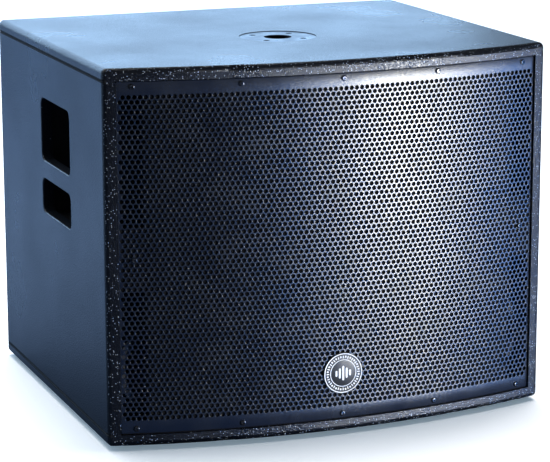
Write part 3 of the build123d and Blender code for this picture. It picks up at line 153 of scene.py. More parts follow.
def make_world():
    """A dim blue sky, a little brighter at its horizon."""
    world = bpy.data.worlds.new("studio")
    scene.world = world
    world.use_nodes = True
    tree = world.node_tree
    tree.nodes.clear()
    coords = tree.nodes.new("ShaderNodeTexCoord")
    split = tree.nodes.new("ShaderNodeSeparateXYZ")
    ramp = tree.nodes.new("ShaderNodeValToRGB")
    back = tree.nodes.new("ShaderNodeBackground")
    out = tree.nodes.new("ShaderNodeOutputWorld")
    for stop, place, colour in zip(ramp.color_ramp.elements, (0.0, 1.0), (SKY_LEVEL, SKY_ABOVE)):
        stop.position = place
        stop.color = (*colour, 1)
    tree.links.new(coords.outputs["Generated"], split.inputs[0])
    tree.links.new(split.outputs["Z"], ramp.inputs["Fac"])
    tree.links.new(ramp.outputs["Color"], back.inputs["Color"])
    back.inputs["Strength"].default_value = SKY_STRENGTH
    tree.links.new(back.outputs[0], out.inputs["Surface"])


def floor_material():
    """White with a faint glow to the camera, and to light and mirror rays a dimmer blue with painted shade,
    darker towards the front.
    """
    mat = bpy.data.materials.new("studio_floor")
    mat.use_nodes = True
    tree = mat.node_tree
    tree.nodes.clear()
    ray = tree.nodes.new("ShaderNodeLightPath")
    seen = tree.nodes.new("ShaderNodeBsdfDiffuse")
    seen.inputs["Color"].default_value = (1.0, 1.0, 1.0, 1)
    glow = tree.nodes.new("ShaderNodeEmission")
    glow.inputs["Color"].default_value = (*FLOOR_GLOW, 1)
    glow.inputs["Strength"].default_value = FLOOR_GLOW_STRENGTH
    both = tree.nodes.new("ShaderNodeAddShader")
    place = tree.nodes.new("ShaderNodeTexCoord")
    split = tree.nodes.new("ShaderNodeSeparateXYZ")
    ramp = tree.nodes.new("ShaderNodeMapRange")
    for key, number in zip(("From Min", "From Max", "To Min", "To Max"), (*FLOOR_SPAN, 0.0, 1.0)):
        ramp.inputs[key].default_value = number
    # Painted shade on the floor, from the darker front to the lighter back.
    shade = tree.nodes.new("ShaderNodeMix")
    shade.data_type = "RGBA"
    shade.inputs["A"].default_value = (*FLOOR_NEAR_SHADE, 1)
    shade.inputs["B"].default_value = (*FLOOR_FAR, 1)
    other = tree.nodes.new("ShaderNodeBsdfDiffuse")
    tree.links.new(place.outputs["Object"], split.inputs[0])
    tree.links.new(split.outputs["Y"], ramp.inputs["Value"])
    tree.links.new(ramp.outputs["Result"], shade.inputs["Factor"])
    tree.links.new(shade.outputs["Result"], other.inputs["Color"])
    mix = tree.nodes.new("ShaderNodeMixShader")
    out = tree.nodes.new("ShaderNodeOutputMaterial")
    tree.links.new(seen.outputs[0], both.inputs[0])
    tree.links.new(glow.outputs[0], both.inputs[1])
    tree.links.new(ray.outputs["Is Camera Ray"], mix.inputs[0])
    tree.links.new(other.outputs[0], mix.inputs[1])
    tree.links.new(both.outputs[0], mix.inputs[2])
    tree.links.new(mix.outputs[0], out.inputs["Surface"])
    return mat


def make_floor():
    """A round floor, wide enough to fill the view behind the object."""
    bpy.ops.mesh.primitive_circle_add(vertices=96, radius=FLOOR_RADIUS, fill_type="NGON", location=(0, 0, 0))
    floor = bpy.context.object
    floor.name = "studio_floor"
    floor.data.materials.append(floor_material())
    return floor


def floor_groups(floor):
    """Two collections for the lights: all but the floor, and the floor alone."""
    group = bpy.data.collections.new("off_the_floor")
    group.objects.link(floor)
    group.collection_objects[0].light_linking.link_state = "EXCLUDE"
    alone = bpy.data.collections.new("floor_alone")
    alone.objects.link(floor)
    return group, alone


def make_studio():
    make_world()
    off_floor, floor_alone = floor_groups(make_floor())
    linked = {"all": (None, None), "object": (off_floor, off_floor), "floor": (floor_alone, None)}
    for name, (*settings, falls_on) in LIGHTS.items():
        area_light(name, *settings, *linked[falls_on])


# ---------------------------------------------------------------- materials


class Finish:
    """A procedural material on a Principled shader, in the part's own metres."""

    PATCHES = (0.35, 0.7)  # of the noise: from the finish's own colour to the mottled one
    PATCH_ROUGHNESS = (0.3, 0.7)
    WORN_EDGE = (0.995, 0.86)  # cosine of an edge's turn: where wear begins, and where it is full
    WORN_SPOTS = (0.52, 0.62)

    def __init__(self, name, colour, roughness, **sockets):
        self.name = name
        self.mat = bpy.data.materials.new(name)
        self.mat.use_nodes = True
        self.tree = self.mat.node_tree
        self.shader = self.tree.nodes["Principled BSDF"]
        self.coords = self.add("ShaderNodeTexCoord").outputs["Object"]
        self.colour = None
        self.height = None
        self.base = colour
        self.shader.inputs["Base Color"].default_value = (*colour, 1)
        self.shader.inputs["Roughness"].default_value = roughness
        self.roughness = roughness
        for socket, value in sockets.items():
            self.shader.inputs[socket.replace("_", " ")].default_value = value

    def add(self, kind, **props):
        node = self.tree.nodes.new(kind)
        for key, value in props.items():
            setattr(node, key, value)
        return node

    def link(self, source, target):
        self.tree.links.new(source, target)

    def noise(self, scale, detail=2.0, stretch=(1, 1, 1), rough=0.5):
        """Fractal noise whose grains are about 1 / scale metres across."""
        place = self.add("ShaderNodeMapping")
        place.inputs["Scale"].default_value = stretch
        self.link(self.coords, place.inputs["Vector"])
        field = self.add("ShaderNodeTexNoise")
        field.inputs["Scale"].default_value = scale
        field.inputs["Detail"].default_value = detail
        field.inputs["Roughness"].default_value = rough
        self.link(place.outputs[0], field.inputs["Vector"])
        return field.outputs["Fac"]

    def cells(self, scale):
        """A node of Voronoi cells, about 1 / scale metres across."""
        field = self.add("ShaderNodeTexVoronoi", feature="F1")
        field.inputs["Scale"].default_value = scale
        self.link(self.coords, field.inputs["Vector"])
        return field

    def axes(self):
        """X, Y and Z of the place, in the part's metres."""
        split = self.add("ShaderNodeSeparateXYZ")
        self.link(self.coords, split.inputs[0])
        return split.outputs

    def ranged(self, value, low, high, to_low=0.0, to_high=1.0):
        """Maps a value from one range to another, and clamps it there."""
        node = self.add("ShaderNodeMapRange")
        self.link(value, node.inputs["Value"])
        for key, number in (("From Min", low), ("From Max", high), ("To Min", to_low), ("To Max", to_high)):
            node.inputs[key].default_value = number
        return node.outputs["Result"]

    def math(self, operation, *values):
        node = self.add("ShaderNodeMath", operation=operation)
        for socket, value in zip(node.inputs, values):
            if isinstance(value, (int, float)):
                socket.default_value = value
            else:
                self.link(value, socket)
        return node.outputs[0]

    def tint(self, mask, colour):
        """Mixes another colour in where the mask is 1."""
        mix = self.add("ShaderNodeMix", data_type="RGBA")
        self.link(mask, mix.inputs["Factor"])
        if self.colour is None:
            mix.inputs["A"].default_value = (*self.base, 1)
        else:
            self.link(self.colour, mix.inputs["A"])
        mix.inputs["B"].default_value = (*colour, 1)
        self.colour = mix.outputs["Result"]
        self.link(self.colour, self.shader.inputs["Base Color"])

    def mottle(self, scale, colour, spread=0.06, detail=3.0):
        """Uneven colour and roughness in soft patches."""
        field = self.noise(scale, detail)
        self.tint(self.ranged(field, *self.PATCHES), colour)
        low, high = self.roughness - spread, self.roughness + spread
        rough = self.ranged(field, *self.PATCH_ROUGHNESS, low, high)
        self.link(rough, self.shader.inputs["Roughness"])

    def bump(self, height, depth):
        """Adds relief of a depth in metres."""
        node = self.add("ShaderNodeBump")
        node.inputs["Distance"].default_value = depth
        self.link(height, node.inputs["Height"])
        if self.height is not None:
            self.link(self.height, node.inputs["Normal"])
        self.height = node.outputs["Normal"]
        self.link(self.height, self.shader.inputs["Normal"])

    def wear(self, radius, colour, amount=1.0, scale=180.0):
        """Rubs the finish away in spots along its edges."""
        soft = self.add("ShaderNodeBevel", samples=4)
        soft.inputs["Radius"].default_value = radius
        flat = self.add("ShaderNodeNewGeometry")
        dot = self.add("ShaderNodeVectorMath", operation="DOT_PRODUCT")
        self.link(soft.outputs["Normal"], dot.inputs[0])
        self.link(flat.outputs["Normal"], dot.inputs[1])
        edge = self.ranged(dot.outputs["Value"], *self.WORN_EDGE)
        spots = self.ranged(self.noise(scale, 4.0), *self.WORN_SPOTS, 0.0, amount)
        self.tint(self.math("MULTIPLY", edge, spots), colour)


PAINT_ROUGHNESS = 0.30
RIM_SHADE_AND_GLINTS_Y = (-0.205, -0.217)  # where the front rim's painted shade, a darker colour, and its extra painted glints fade in
PAINTED_GLINT_SHARE = (0.40, 0.012)  # of the cells that get a painted glint, added at the rim and everywhere
GROOVE_Z = (0.020, 0.460)  # the V-grooves' middles
GROOVE_SHADE = (0.0026, 0.0019)  # from a groove's middle: where its painted shade begins, and where it is full
GROOVE_DEPTH_X = (0.2935, 0.2946)  # from a groove's floor to its lips
SIDE_X = (0.2900, 0.2910)  # where the side faces begin
LIP_SHADE = 0.75  # of a groove's painted shade, at its lips


def groove_shade_mask(f):
    """Painted shade in the V-grooves of the side faces: 1 in them, and a little less at their lips."""
    x, _, z = f.axes()
    low, high = [f.math("ABSOLUTE", f.math("SUBTRACT", z, middle)) for middle in GROOVE_Z]
    groove = f.ranged(f.math("MINIMUM", low, high), *GROOVE_SHADE)
    across = f.math("ABSOLUTE", x)
    deep = f.ranged(across, *GROOVE_DEPTH_X, 1.0, 0.0)
    beside = f.ranged(across, *SIDE_X)
    return f.math("MULTIPLY", groove, f.math("MULTIPLY", f.math("MAXIMUM", deep, LIP_SHADE), beside))


def cabinet_paint():
    """Sprayed black texture paint: fine grains all over, with painted glints, painted shade on the front rim,
    and painted shade in the V-grooves on the sides.
    """
    f = Finish("cabinet_paint", (0.0075, 0.0105, 0.0165), PAINT_ROUGHNESS)
    f.mottle(7.0, (0.0120, 0.0165, 0.0250), 0.05)
    grains = f.cells(520.0).outputs["Distance"]
    f.bump(f.ranged(grains, 0.05, 0.65, 1.0, 0.0), 0.00024)
    f.bump(f.noise(240.0, 2.0), 0.00012)
    painted_glints = f.cells(480.0)
    pick = f.add("ShaderNodeSeparateColor")
    f.link(painted_glints.outputs["Color"], pick.inputs[0])
    rim = f.ranged(f.axes()["Y"], *RIM_SHADE_AND_GLINTS_Y)
    share = f.math("MULTIPLY_ADD", rim, *PAINTED_GLINT_SHARE)
    # Painted shade: the front rim's colour is darker than the rest of the same paint.
    f.tint(rim, (0.0016, 0.0022, 0.0042))
    # Painted glints: bright spots in the colour that stand in for highlights off the paint's grains.
    spot = f.ranged(painted_glints.outputs["Distance"], 0.26, 0.14)
    chosen = f.math("LESS_THAN", pick.outputs[0], share)
    f.tint(f.math("MULTIPLY", spot, chosen), (0.75, 0.85, 1.0))
    f.wear(0.0010, (0.040, 0.046, 0.055), 0.5, 260.0)
    # Painted shade in the V-grooves: a near-black colour, with full roughness there.
    painted_groove_shade = groove_shade_mask(f)
    f.tint(painted_groove_shade, (0.0015, 0.0018, 0.0025))
    rough = f.add("ShaderNodeMix", data_type="FLOAT")
    f.link(painted_groove_shade, rough.inputs["Factor"])
    f.link(f.shader.inputs["Roughness"].links[0].from_socket, rough.inputs["A"])
    rough.inputs["B"].default_value = 1.0
    f.link(rough.outputs["Result"], f.shader.inputs["Roughness"])
    return f


def bare_plywood():
    f = Finish("bare_plywood", (0.52, 0.36, 0.20), 0.62)
    f.mottle(6.0, (0.42, 0.27, 0.14), 0.08)
    fibres = f.noise(60.0, 4.0, (1.0, 14.0, 14.0))
    f.tint(f.ranged(fibres, 0.45, 0.62), (0.36, 0.22, 0.11))
    f.bump(fibres, 0.0002)
    return f


def inner_black():
    f = Finish("inner_black", (0.0035, 0.0035, 0.004), 0.9, Specular_IOR_Level=0.15)
    f.mottle(14.0, (0.0055, 0.0055, 0.006), 0.06)
    f.bump(f.noise(420.0, 3.0), 0.00025)
    f.wear(0.0012, (0.05, 0.04, 0.03), 0.2)
    return f


def grille_black():
    f = Finish("grille_black", (0.0050, 0.0085, 0.0190), 0.25, Specular_IOR_Level=0.8)
    f.mottle(26.0, (0.0085, 0.0120, 0.0210), 0.04)
    soft = f.add("ShaderNodeBevel", samples=6)
    soft.inputs["Radius"].default_value = 0.0006
    f.height = soft.outputs["Normal"]
    f.bump(f.noise(1500.0, 2.0), 0.00010)
    f.bump(f.noise(70.0, 2.0), 0.00003)
    f.wear(0.0005, (0.05, 0.055, 0.065), 0.25, 420.0)
    return f


def painted_metal(name, colour, rough, worn, grain=900.0, depth=0.00012, **sockets):
    f = Finish(name, colour, rough, **sockets)
    f.mottle(40.0, tuple(1.5 * c + 0.002 for c in colour), 0.06)
    f.bump(f.noise(grain, 2.0), depth)
    f.wear(0.0007, worn, 0.7, 400.0)
    return f


def bare_metal(name, colour, rough, stain, stretch=(1, 1, 1), scale=900.0):
    f = Finish(name, colour, rough, Metallic=1.0)
    f.mottle(70.0, stain, 0.09)
    f.bump(f.noise(scale, 3.0, stretch), 0.00008)
    return f


def plastic(name, colour, rough, lighter, grain=1400.0, depth=0.00008):
    f = Finish(name, colour, rough)
    f.mottle(45.0, lighter, 0.06)
    f.bump(f.noise(grain, 2.0), depth)
    f.wear(0.0006, tuple(min(1.0, 2.2 * c + 0.02) for c in colour), 0.5, 500.0)
    return f


def foam(name, colour, pores, scale=700.0, depth=0.0009):
    f = Finish(name, colour, 0.95, Specular_IOR_Level=0.15, Sheen_Weight=0.15)
    open_cells = f.cells(scale).outputs["Distance"]
    f.tint(f.ranged(open_cells, 0.25, 0.6), pores)
    f.bump(open_cells, depth)
    f.bump(f.noise(130.0, 3.0), 0.0005)
    return f


def woven(name, colour, thread, scale=900.0, depth=0.0003):
    f = Finish(name, colour, 0.78, Sheen_Weight=0.2)
    field = f.noise(24.0, 3.0)
    f.tint(f.ranged(field, 0.4, 0.65), thread)
    warp = f.noise(scale, 1.0, (1.0, 0.25, 1.0))
    weft = f.noise(scale, 1.0, (1.0, 1.0, 0.25))
    f.bump(f.math("MAXIMUM", warp, weft), depth)
    f.link(f.ranged(field, 0.3, 0.7, 0.70, 0.88), f.shader.inputs["Roughness"])
    return f


def cone_paper():
    f = Finish("cone_paper", (0.022, 0.021, 0.020), 0.82)
    f.mottle(60.0, (0.034, 0.032, 0.030), 0.06)
    fibres = f.noise(650.0, 4.0, (1.0, 0.4, 1.0), 0.65)
    f.tint(f.ranged(fibres, 0.56, 0.70), (0.060, 0.056, 0.050))
    f.bump(fibres, 0.0004)
    return f


def magnet_ferrite():
    f = Finish("magnet_ferrite", (0.045, 0.044, 0.046), 0.55)
    f.mottle(50.0, (0.075, 0.073, 0.074), 0.1)
    f.bump(f.noise(1100.0, 4.0), 0.0003)
    f.wear(0.001, (0.12, 0.12, 0.12), 0.8)
    return f


def circuit_board():
    f = Finish("circuit_board", (0.012, 0.085, 0.038), 0.35)
    f.mottle(30.0, (0.016, 0.110, 0.050), 0.06)
    tracks = f.noise(260.0, 0.0, (1.0, 1.0, 0.12))
    f.tint(f.ranged(tracks, 0.50, 0.53), (0.030, 0.150, 0.065))
    f.bump(tracks, 0.0001)
    return f


def lamp_lens():
    f = Finish("lamp_lens", (0.03, 0.45, 0.10), 0.18, Coat_Weight=0.5)
    f.mottle(400.0, (0.05, 0.60, 0.16), 0.04)
    f.bump(f.noise(2200.0, 1.0), 0.00003)
    return f


def matt_screw():
    f = Finish("screw_matt", (0.0040, 0.0040, 0.0050), 0.9, Specular_IOR_Level=0.12)
    f.mottle(60.0, (0.0065, 0.0065, 0.0075), 0.05)
    f.bump(f.noise(900.0, 2.0), 0.00012)
    return f


BORE_SHADE_Z = (0.4738, 0.4732)  # where the pole socket's top turns into the painted shade, black, down its bore


def socket_steel():
    """Dark coated steel on the flange, and painted shade, black, down its bore."""
    f = Finish("socket_steel", (0.075, 0.095, 0.12), 0.34, Metallic=0.6)
    f.mottle(60.0, (0.11, 0.13, 0.16), 0.08)
    f.bump(f.noise(1300.0, 2.0), 0.00006)
    f.wear(0.0006, (0.30, 0.31, 0.33), 0.3, 500.0)
    # Painted shade: black down the bore.
    f.tint(f.ranged(f.axes()["Z"], *BORE_SHADE_Z), (0.0015, 0.0015, 0.0015))
    return f


def wadding_white():
    f = Finish("wadding", (0.62, 0.63, 0.65), 0.95, Sheen_Weight=0.4)
    fibres = f.noise(240.0, 6.0, (1.0, 1.0, 1.0), 0.7)
    f.tint(f.ranged(fibres, 0.4, 0.65), (0.46, 0.47, 0.49))
    f.bump(fibres, 0.002)
    return f


STEEL_WORN = (0.30, 0.30, 0.31)
LENGTHWAYS = (1, 1, 0.1)  # stretches the grain along Z
ROUND_Y = (0.1, 1, 0.1)  # winds the grain round Y


def black_screw():
    gloss = {"Specular_IOR_Level": 1.0, "Coat_Weight": 0.6}
    return painted_metal("screw_black", (0.006, 0.006, 0.008), 0.14, STEEL_WORN, **gloss)


def make_materials():
    """Every finish's material, by the finish's name."""
    made = (
        cabinet_paint(),
        bare_plywood(),
        inner_black(),
        grille_black(),
        black_screw(),
        matt_screw(),
        bare_metal("zinc_steel", (0.56, 0.57, 0.60), 0.34, (0.46, 0.46, 0.44)),
        foam("foam_black", (0.0045, 0.0045, 0.005), (0.0020, 0.0020, 0.0022)),
        plastic("cup_plastic", (0.010, 0.011, 0.012), 0.48, (0.017, 0.018, 0.020), 900.0, 0.00018),
        plastic("foot_rubber", (0.014, 0.014, 0.014), 0.72, (0.024, 0.023, 0.022), 700.0, 0.0003),
        painted_metal("badge_black", (0.006, 0.006, 0.007), 0.42, STEEL_WORN),
        painted_metal("badge_metal", (0.84, 0.83, 0.80), 0.45, (0.90, 0.90, 0.90)),
        socket_steel(),
        plastic("port_plastic", (0.012, 0.012, 0.013), 0.5, (0.020, 0.020, 0.022)),
        painted_metal("basket_cast", (0.020, 0.021, 0.023), 0.42, (0.32, 0.32, 0.33), 500.0, 0.0004),
        foam("gasket_foam", (0.018, 0.018, 0.019), (0.009, 0.009, 0.010), 1200.0, 0.0004),
        woven("surround_cloth", (0.014, 0.014, 0.015), (0.024, 0.023, 0.024)),
        cone_paper(),
        bare_metal("coil_copper", (0.72, 0.36, 0.18), 0.32, (0.55, 0.26, 0.13), ROUND_Y, 2600.0),
        woven("spider_cloth", (0.34, 0.20, 0.055), (0.25, 0.14, 0.04), 1100.0),
        magnet_ferrite(),
        painted_metal("amp_black", (0.013, 0.014, 0.016), 0.40, (0.26, 0.26, 0.27), 1100.0, 0.00018),
        bare_metal("case_steel", (0.55, 0.56, 0.58), 0.38, (0.45, 0.45, 0.45), LENGTHWAYS),
        circuit_board(),
        plastic("capacitor_sleeve", (0.010, 0.018, 0.050), 0.3, (0.016, 0.028, 0.070)),
        plastic("transformer_wrap", (0.50, 0.36, 0.05), 0.4, (0.62, 0.46, 0.09)),
        plastic("connector_black", (0.011, 0.011, 0.012), 0.36, (0.019, 0.019, 0.021)),
        plastic("knob_plastic", (0.013, 0.013, 0.014), 0.42, (0.022, 0.022, 0.024)),
        plastic("rocker_red", (0.36, 0.012, 0.010), 0.30, (0.46, 0.02, 0.016)),
        lamp_lens(),
        plastic("lead_black", (0.012, 0.012, 0.013), 0.55, (0.02, 0.02, 0.021)),
        wadding_white(),
        plastic("dial_white", (0.74, 0.75, 0.76), 0.5, (0.66, 0.67, 0.68)),
    )
    return {finish.name: finish.mat for finish in made}


# ---------------------------------------------------------------- making pieces


SHARP_ANGLE = math.radians(40)


def piece(name, points, faces, material, body="cabinet"):
    """A mesh piece that rides on a body, or on none."""
    mesh = bpy.data.meshes.new(name)
    mesh.from_pydata(points, [], faces)
    mesh.validate()
    mesh.shade_smooth()
    mesh.set_sharp_from_angle(angle=SHARP_ANGLE)
    mesh.materials.append(material)
    thing = bpy.data.objects.new(name, mesh)
    scene.collection.objects.link(thing)
    if body:
        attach(thing, body)
    return thing


# ---------------------------------------------------------------- grille


def bend_start():
    """Angle of the bow where the sides of the grille begin to fold."""
    return math.asin((GRILLE_HALF_WIDTH - GRILLE_BEND) / (GRILLE_RADIUS - GRILLE_BEND))


def on_grille(flat):
    """Maps the flat sheet's points (along the bow, height, depth below the outer face) to the part."""
    along, high, deep = flat.T
    start = bend_start()
    side_start = start * GRILLE_RADIUS
    angle = np.clip(along / GRILLE_RADIUS, -start, start)
    way = np.sign(along)
    out = np.stack([np.sin(angle), -np.cos(angle)], 1)
    ahead = np.stack([np.cos(angle) * way, np.sin(angle) * way], 1)
    surface = np.stack([GRILLE_RADIUS * np.sin(angle), BOW_CENTRE - GRILLE_RADIUS * np.cos(angle)], 1)
    over_side = np.maximum(np.abs(along) - side_start, 0.0)
    turn_side = np.minimum(over_side / GRILLE_BEND, math.pi / 2 - start)
    run_side = np.maximum(over_side - GRILLE_BEND * (math.pi / 2 - start), 0.0)
    top_start = GRILLE_HALF_HEIGHT - GRILLE_BEND
    over_top = np.maximum(np.abs(high) - top_start, 0.0)
    turn_top = np.minimum(over_top / GRILLE_BEND, math.pi / 2)
    run_top = np.maximum(over_top - GRILLE_BEND * math.pi / 2, 0.0)
    radius = GRILLE_BEND - deep
    inward = GRILLE_BEND - radius * np.cos(turn_top) * np.cos(turn_side) + run_top
    plan = surface - out * inward[:, None] + ahead * (radius * np.sin(turn_side))[:, None]
    plan[:, 1] += run_side
    height = np.sign(high) * (np.minimum(np.abs(high), top_start) + radius * np.sin(turn_top))
    return np.column_stack([plan, GRILLE_MIDDLE + height])


def hexagon():
    """Corners of one cell, round the middle of its hole."""
    third = ROW_PITCH / 3
    half = COLUMN_PITCH / 2
    return [(half, -third), (half, third), (0, 2 * third), (-half, third), (-half, -third), (0, -2 * third)]


def cell_pattern():
    """One cell of the perforated sheet: its points, the faces round its hole, and the hole's wall."""
    corners = hexagon()
    count = len(corners)
    inner = [2 * math.pi * i / HOLE_SIDES for i in range(HOLE_SIDES)]
    rim = [(HOLE_RADIUS * math.cos(turn), HOLE_RADIUS * math.sin(turn)) for turn in inner]
    outer = [math.atan2(z, x) % (2 * math.pi) for x, z in corners]
    order = sorted(range(count), key=lambda i: outer[i])
    points = [(*corners[i], 0.0) for i in order]
    points += [(*p, 0.0) for p in rim] + [(*p, GRILLE_SHEET) for p in rim]
    angles = [outer[i] for i in order]
    faces = []
    i = j = 0
    while i < count or j < HOLE_SIDES:
        next_outer = angles[(i + 1) % count] + (2 * math.pi if i + 1 >= count else 0.0)
        next_inner = inner[(j + 1) % HOLE_SIDES] + (2 * math.pi if j + 1 >= HOLE_SIDES else 0.0)
        a, b = i % count, count + j % HOLE_SIDES
        if j >= HOLE_SIDES or (i < count and next_outer <= next_inner):
            faces.append((a, (i + 1) % count, b))
            i += 1
        else:
            faces.append((a, count + (j + 1) % HOLE_SIDES, b))
            j += 1
    walls = []
    for k in range(HOLE_SIDES):
        a = count + k
        b = count + (k + 1) % HOLE_SIDES
        walls.append((a, b, b + HOLE_SIDES, a + HOLE_SIDES))
    return np.array(points), faces, walls


def row_middle(row):
    """A row's height from the middle of the sheet."""
    return (row - (ROWS - 1) / 2) * ROW_PITCH


def row_places(row):
    """How far along the bow each hole of a row lies. Every other row has one hole more."""
    count = COLUMNS + row % 2
    return [(i - (count - 1) / 2) * COLUMN_PITCH for i in range(count)]


def hole_places():
    """The middle of each hole on the flat sheet."""
    return np.array([(along, row_middle(row)) for row in range(ROWS) for along in row_places(row)])


def row_half(row):
    """How far the row's cells reach along the bow."""
    return (COLUMNS + row % 2) * COLUMN_PITCH / 2


def fold_steps(start, arc):
    """Distances at which a margin is divided: at the fold's start, middle and end, and at its edge."""
    return [start, start + arc / 2, start + arc, start + GRILLE_FOLD]


def side_margins(columns):
    """Quads from the rows' ends out over the left and right folds."""
    third = ROW_PITCH / 3
    high = GRILLE_HALF_HEIGHT - GRILLE_BEND
    edge = [(row_half(0), -high)]
    for row in range(ROWS):
        edge += [(row_half(row), row_middle(row) - third), (row_half(row), row_middle(row) + third)]
    edge.append((row_half(ROWS - 1), high))
    quads = []
    for (s0, z0), (s1, z1) in zip(edge, edge[1:]):
        for way in (1, -1):
            rows0 = [s0, *columns]
            rows1 = [s1, *columns]
            for a0, a1, b0, b1 in zip(rows0, rows1, rows0[1:], rows1[1:]):
                quad = [(way * a0, z0), (way * b0, z0), (way * b1, z1), (way * a1, z1)]
                quads.append(quad[::way])
    return quads


def top_margins(ledges):
    """Quads from the first and last row's cells out over the bottom and top folds."""
    third = ROW_PITCH / 3
    last = row_middle(ROWS - 1)
    top = [(-row_half(0), last + third)]
    for middle in row_places(ROWS - 1):
        top += [(middle, last + 2 * third), (middle + COLUMN_PITCH / 2, last + third)]
    quads = []
    for (s0, z0), (s1, z1) in zip(top, top[1:]):
        for way in (1, -1):
            rows0 = [z0, *ledges]
            rows1 = [z1, *ledges]
            for a0, a1, b0, b1 in zip(rows0, rows1, rows0[1:], rows1[1:]):
                quad = [(s0, way * a0), (s1, way * a1), (s1, way * b1), (s0, way * b0)]
                quads.append(quad[::way])
    return quads


def corner_margins(side, ledges):
    """Quads of the top and bottom folds, beyond the cells and up to the side folds."""
    quads = []
    near = row_half(0)
    for way in (1, -1):
        for turn in (1, -1):
            for a, b in zip(ledges, ledges[1:]):
                quad = [(near, a), (side, a), (side, b), (near, b)]
                quad = [(turn * s, way * z) for s, z in quad]
                quads.append(quad[:: way * turn])
    return quads


def grille_margins():
    """Quads of the sheet outside its cells, with the folded edges."""
    side = bend_start() * GRILLE_RADIUS
    columns = fold_steps(side, GRILLE_BEND * (math.pi / 2 - bend_start()))
    ledges = fold_steps(GRILLE_HALF_HEIGHT - GRILLE_BEND, GRILLE_BEND * math.pi / 2)
    quads = side_margins(columns) + top_margins(ledges) + corner_margins(side, ledges)
    return [[(s, z, 0.0) for s, z in quad] for quad in quads]


def weld(flat, faces):
    """Joins the points that meet to a tenth of a micrometre, and drops the faces that this flattens."""
    keys = np.round(flat * 1e7).astype(np.int64)
    _, index, inverse = np.unique(keys, axis=0, return_index=True, return_inverse=True)
    inverse = inverse.reshape(-1)
    welded = []
    for face in faces:
        ring = [int(inverse[i]) for i in face]
        ring = [v for k, v in enumerate(ring) if v != ring[k - 1]]
        if len(ring) > 2:
            welded.append(ring)
    return flat[index], welded


def make_grille(material):
    """The perforated sheet, with a real hole for each one of the steel grille's."""
    pattern, rings, walls = cell_pattern()
    places = hole_places()
    flat = pattern[None, :, :] + np.column_stack([places, np.zeros(len(places))])[:, None, :]
    flat = flat.reshape(-1, 3)
    faces = []
    for n in range(len(places)):
        base = n * len(pattern)
        faces += [tuple(base + i for i in face) for face in rings + walls]
    margins = grille_margins()
    start = len(flat)
    flat = np.vstack([flat, np.array(margins).reshape(-1, 3)])
    faces += [tuple(start + 4 * n + i for i in range(4)) for n in range(len(margins))]
    flat, faces = weld(flat, faces)
    thing = piece("grille_sheet", on_grille(flat).tolist(), faces, material)
    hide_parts("grille")


# ---------------------------------------------------------------- foam and wadding


FOAM_GAP = 0.0003  # between the foam and the grille's inner face
FOAM_GRID = (96, 72)
FOAM_WAVE = 0.0003
FOAM_WAVES_PER_METRE = 60
FOAM_CRUSH = 0.0006  # of each face, at the foam's cut edge


def make_foam(material):
    """The reticulated foam behind the grille, pressed lightly against it."""
    low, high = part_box("grille_foam")
    half = high[0]
    face = GRILLE_RADIUS - GRILLE_SHEET - FOAM_GAP
    across, up = FOAM_GRID
    points = []
    for layer in (0, 1):
        for j in range(up + 1):
            z = low[2] + (high[2] - low[2]) * j / up
            for i in range(across + 1):
                x = -half + 2 * half * i / across
                rim = min(i, across - i, j, up - j)
                spot = Vector((x * FOAM_WAVES_PER_METRE, z * FOAM_WAVES_PER_METRE, layer))
                wave = FOAM_WAVE * noise.noise(spot)
                crush = FOAM_CRUSH if rim == 0 else 0.0
                depth = crush + abs(wave) if layer == 0 else FOAM_THICKNESS - crush - abs(wave)
                radius = face - depth
                points.append((x, BOW_CENTRE - math.sqrt(radius**2 - x**2), z))
    row = across + 1
    count = row * (up + 1)
    faces = []
    for j in range(up):
        for i in range(across):
            a = j * row + i
            faces.append((a, a + 1, a + row + 1, a + row))
            faces.append((count + a, count + a + row, count + a + row + 1, count + a + 1))
    loop = list(range(across)) + [across + row * j for j in range(up)]
    loop += [row * up + across - i for i in range(across)] + [row * (up - j) for j in range(up)]
    for a, b in zip(loop, loop[1:] + loop[:1]):
        faces.append((a, count + a, count + b, b))
    thing = piece("grille_lining", points, faces, material)
    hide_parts("grille_foam")


PAD_THICKNESS = 0.020
PAD_GAP = 0.0006  # between a pad and the ones beside it
PAD_CUTS = 21
PAD_LUMPS_PER_METRE = 38
PAD_LUMP = 0.0022
PAD_SINK = 0.0008  # of every face, below its box
PAD_ROUNDING = 0.012
PAD_ROUND_FROM = 0.9  # of the way from the middle to a face
PAD_MOST_SUNK = 0.35  # of the pad's own size
PAD_NOISE_PLACE = (7.0, 3.0, 1.0)
PAD_NOISE = (0.8, 2.1, 4)  # its roughness, the spacing of its octaves and their number


def pad_boxes():
    """The four damping pads' corners, from the box of the CAD node that holds them."""
    low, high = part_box("damping_pads")
    thick = PAD_THICKNESS
    inner = high[0] - thick - PAD_GAP
    return {
        "left": ((low[0], low[1], low[2]), (low[0] + thick, high[1], high[2])),
        "right": ((high[0] - thick, low[1], low[2]), (high[0], high[1], high[2])),
        "top": ((-inner, low[1], high[2] - thick), (inner, high[1], high[2])),
        "bottom": ((-inner, low[1], low[2]), (inner, high[1], low[2] + thick)),
    }


def soften(bm, middle, size):
    """Turns a unit cube's points into a pad of a size, rounded at its edges and lumpy on its faces."""
    for v in bm.verts:
        at = v.co.copy()
        corner = sum(max(0.0, abs(c) * 2 - PAD_ROUND_FROM) for c in at)
        spot = Vector([at[i] * size[i] for i in range(3)])
        lump = 0.5 + 0.5 * noise.fractal(spot * PAD_LUMPS_PER_METRE + Vector(PAD_NOISE_PLACE), *PAD_NOISE)
        shrink = PAD_SINK + PAD_LUMP * min(1.0, max(0.0, lump)) + PAD_ROUNDING * corner**2
        for i in range(3):
            reach = max(size[i] / 2 - min(shrink, PAD_MOST_SUNK * size[i]), 0.0)
            spot[i] = 2 * at[i] * reach
        v.co = middle + spot


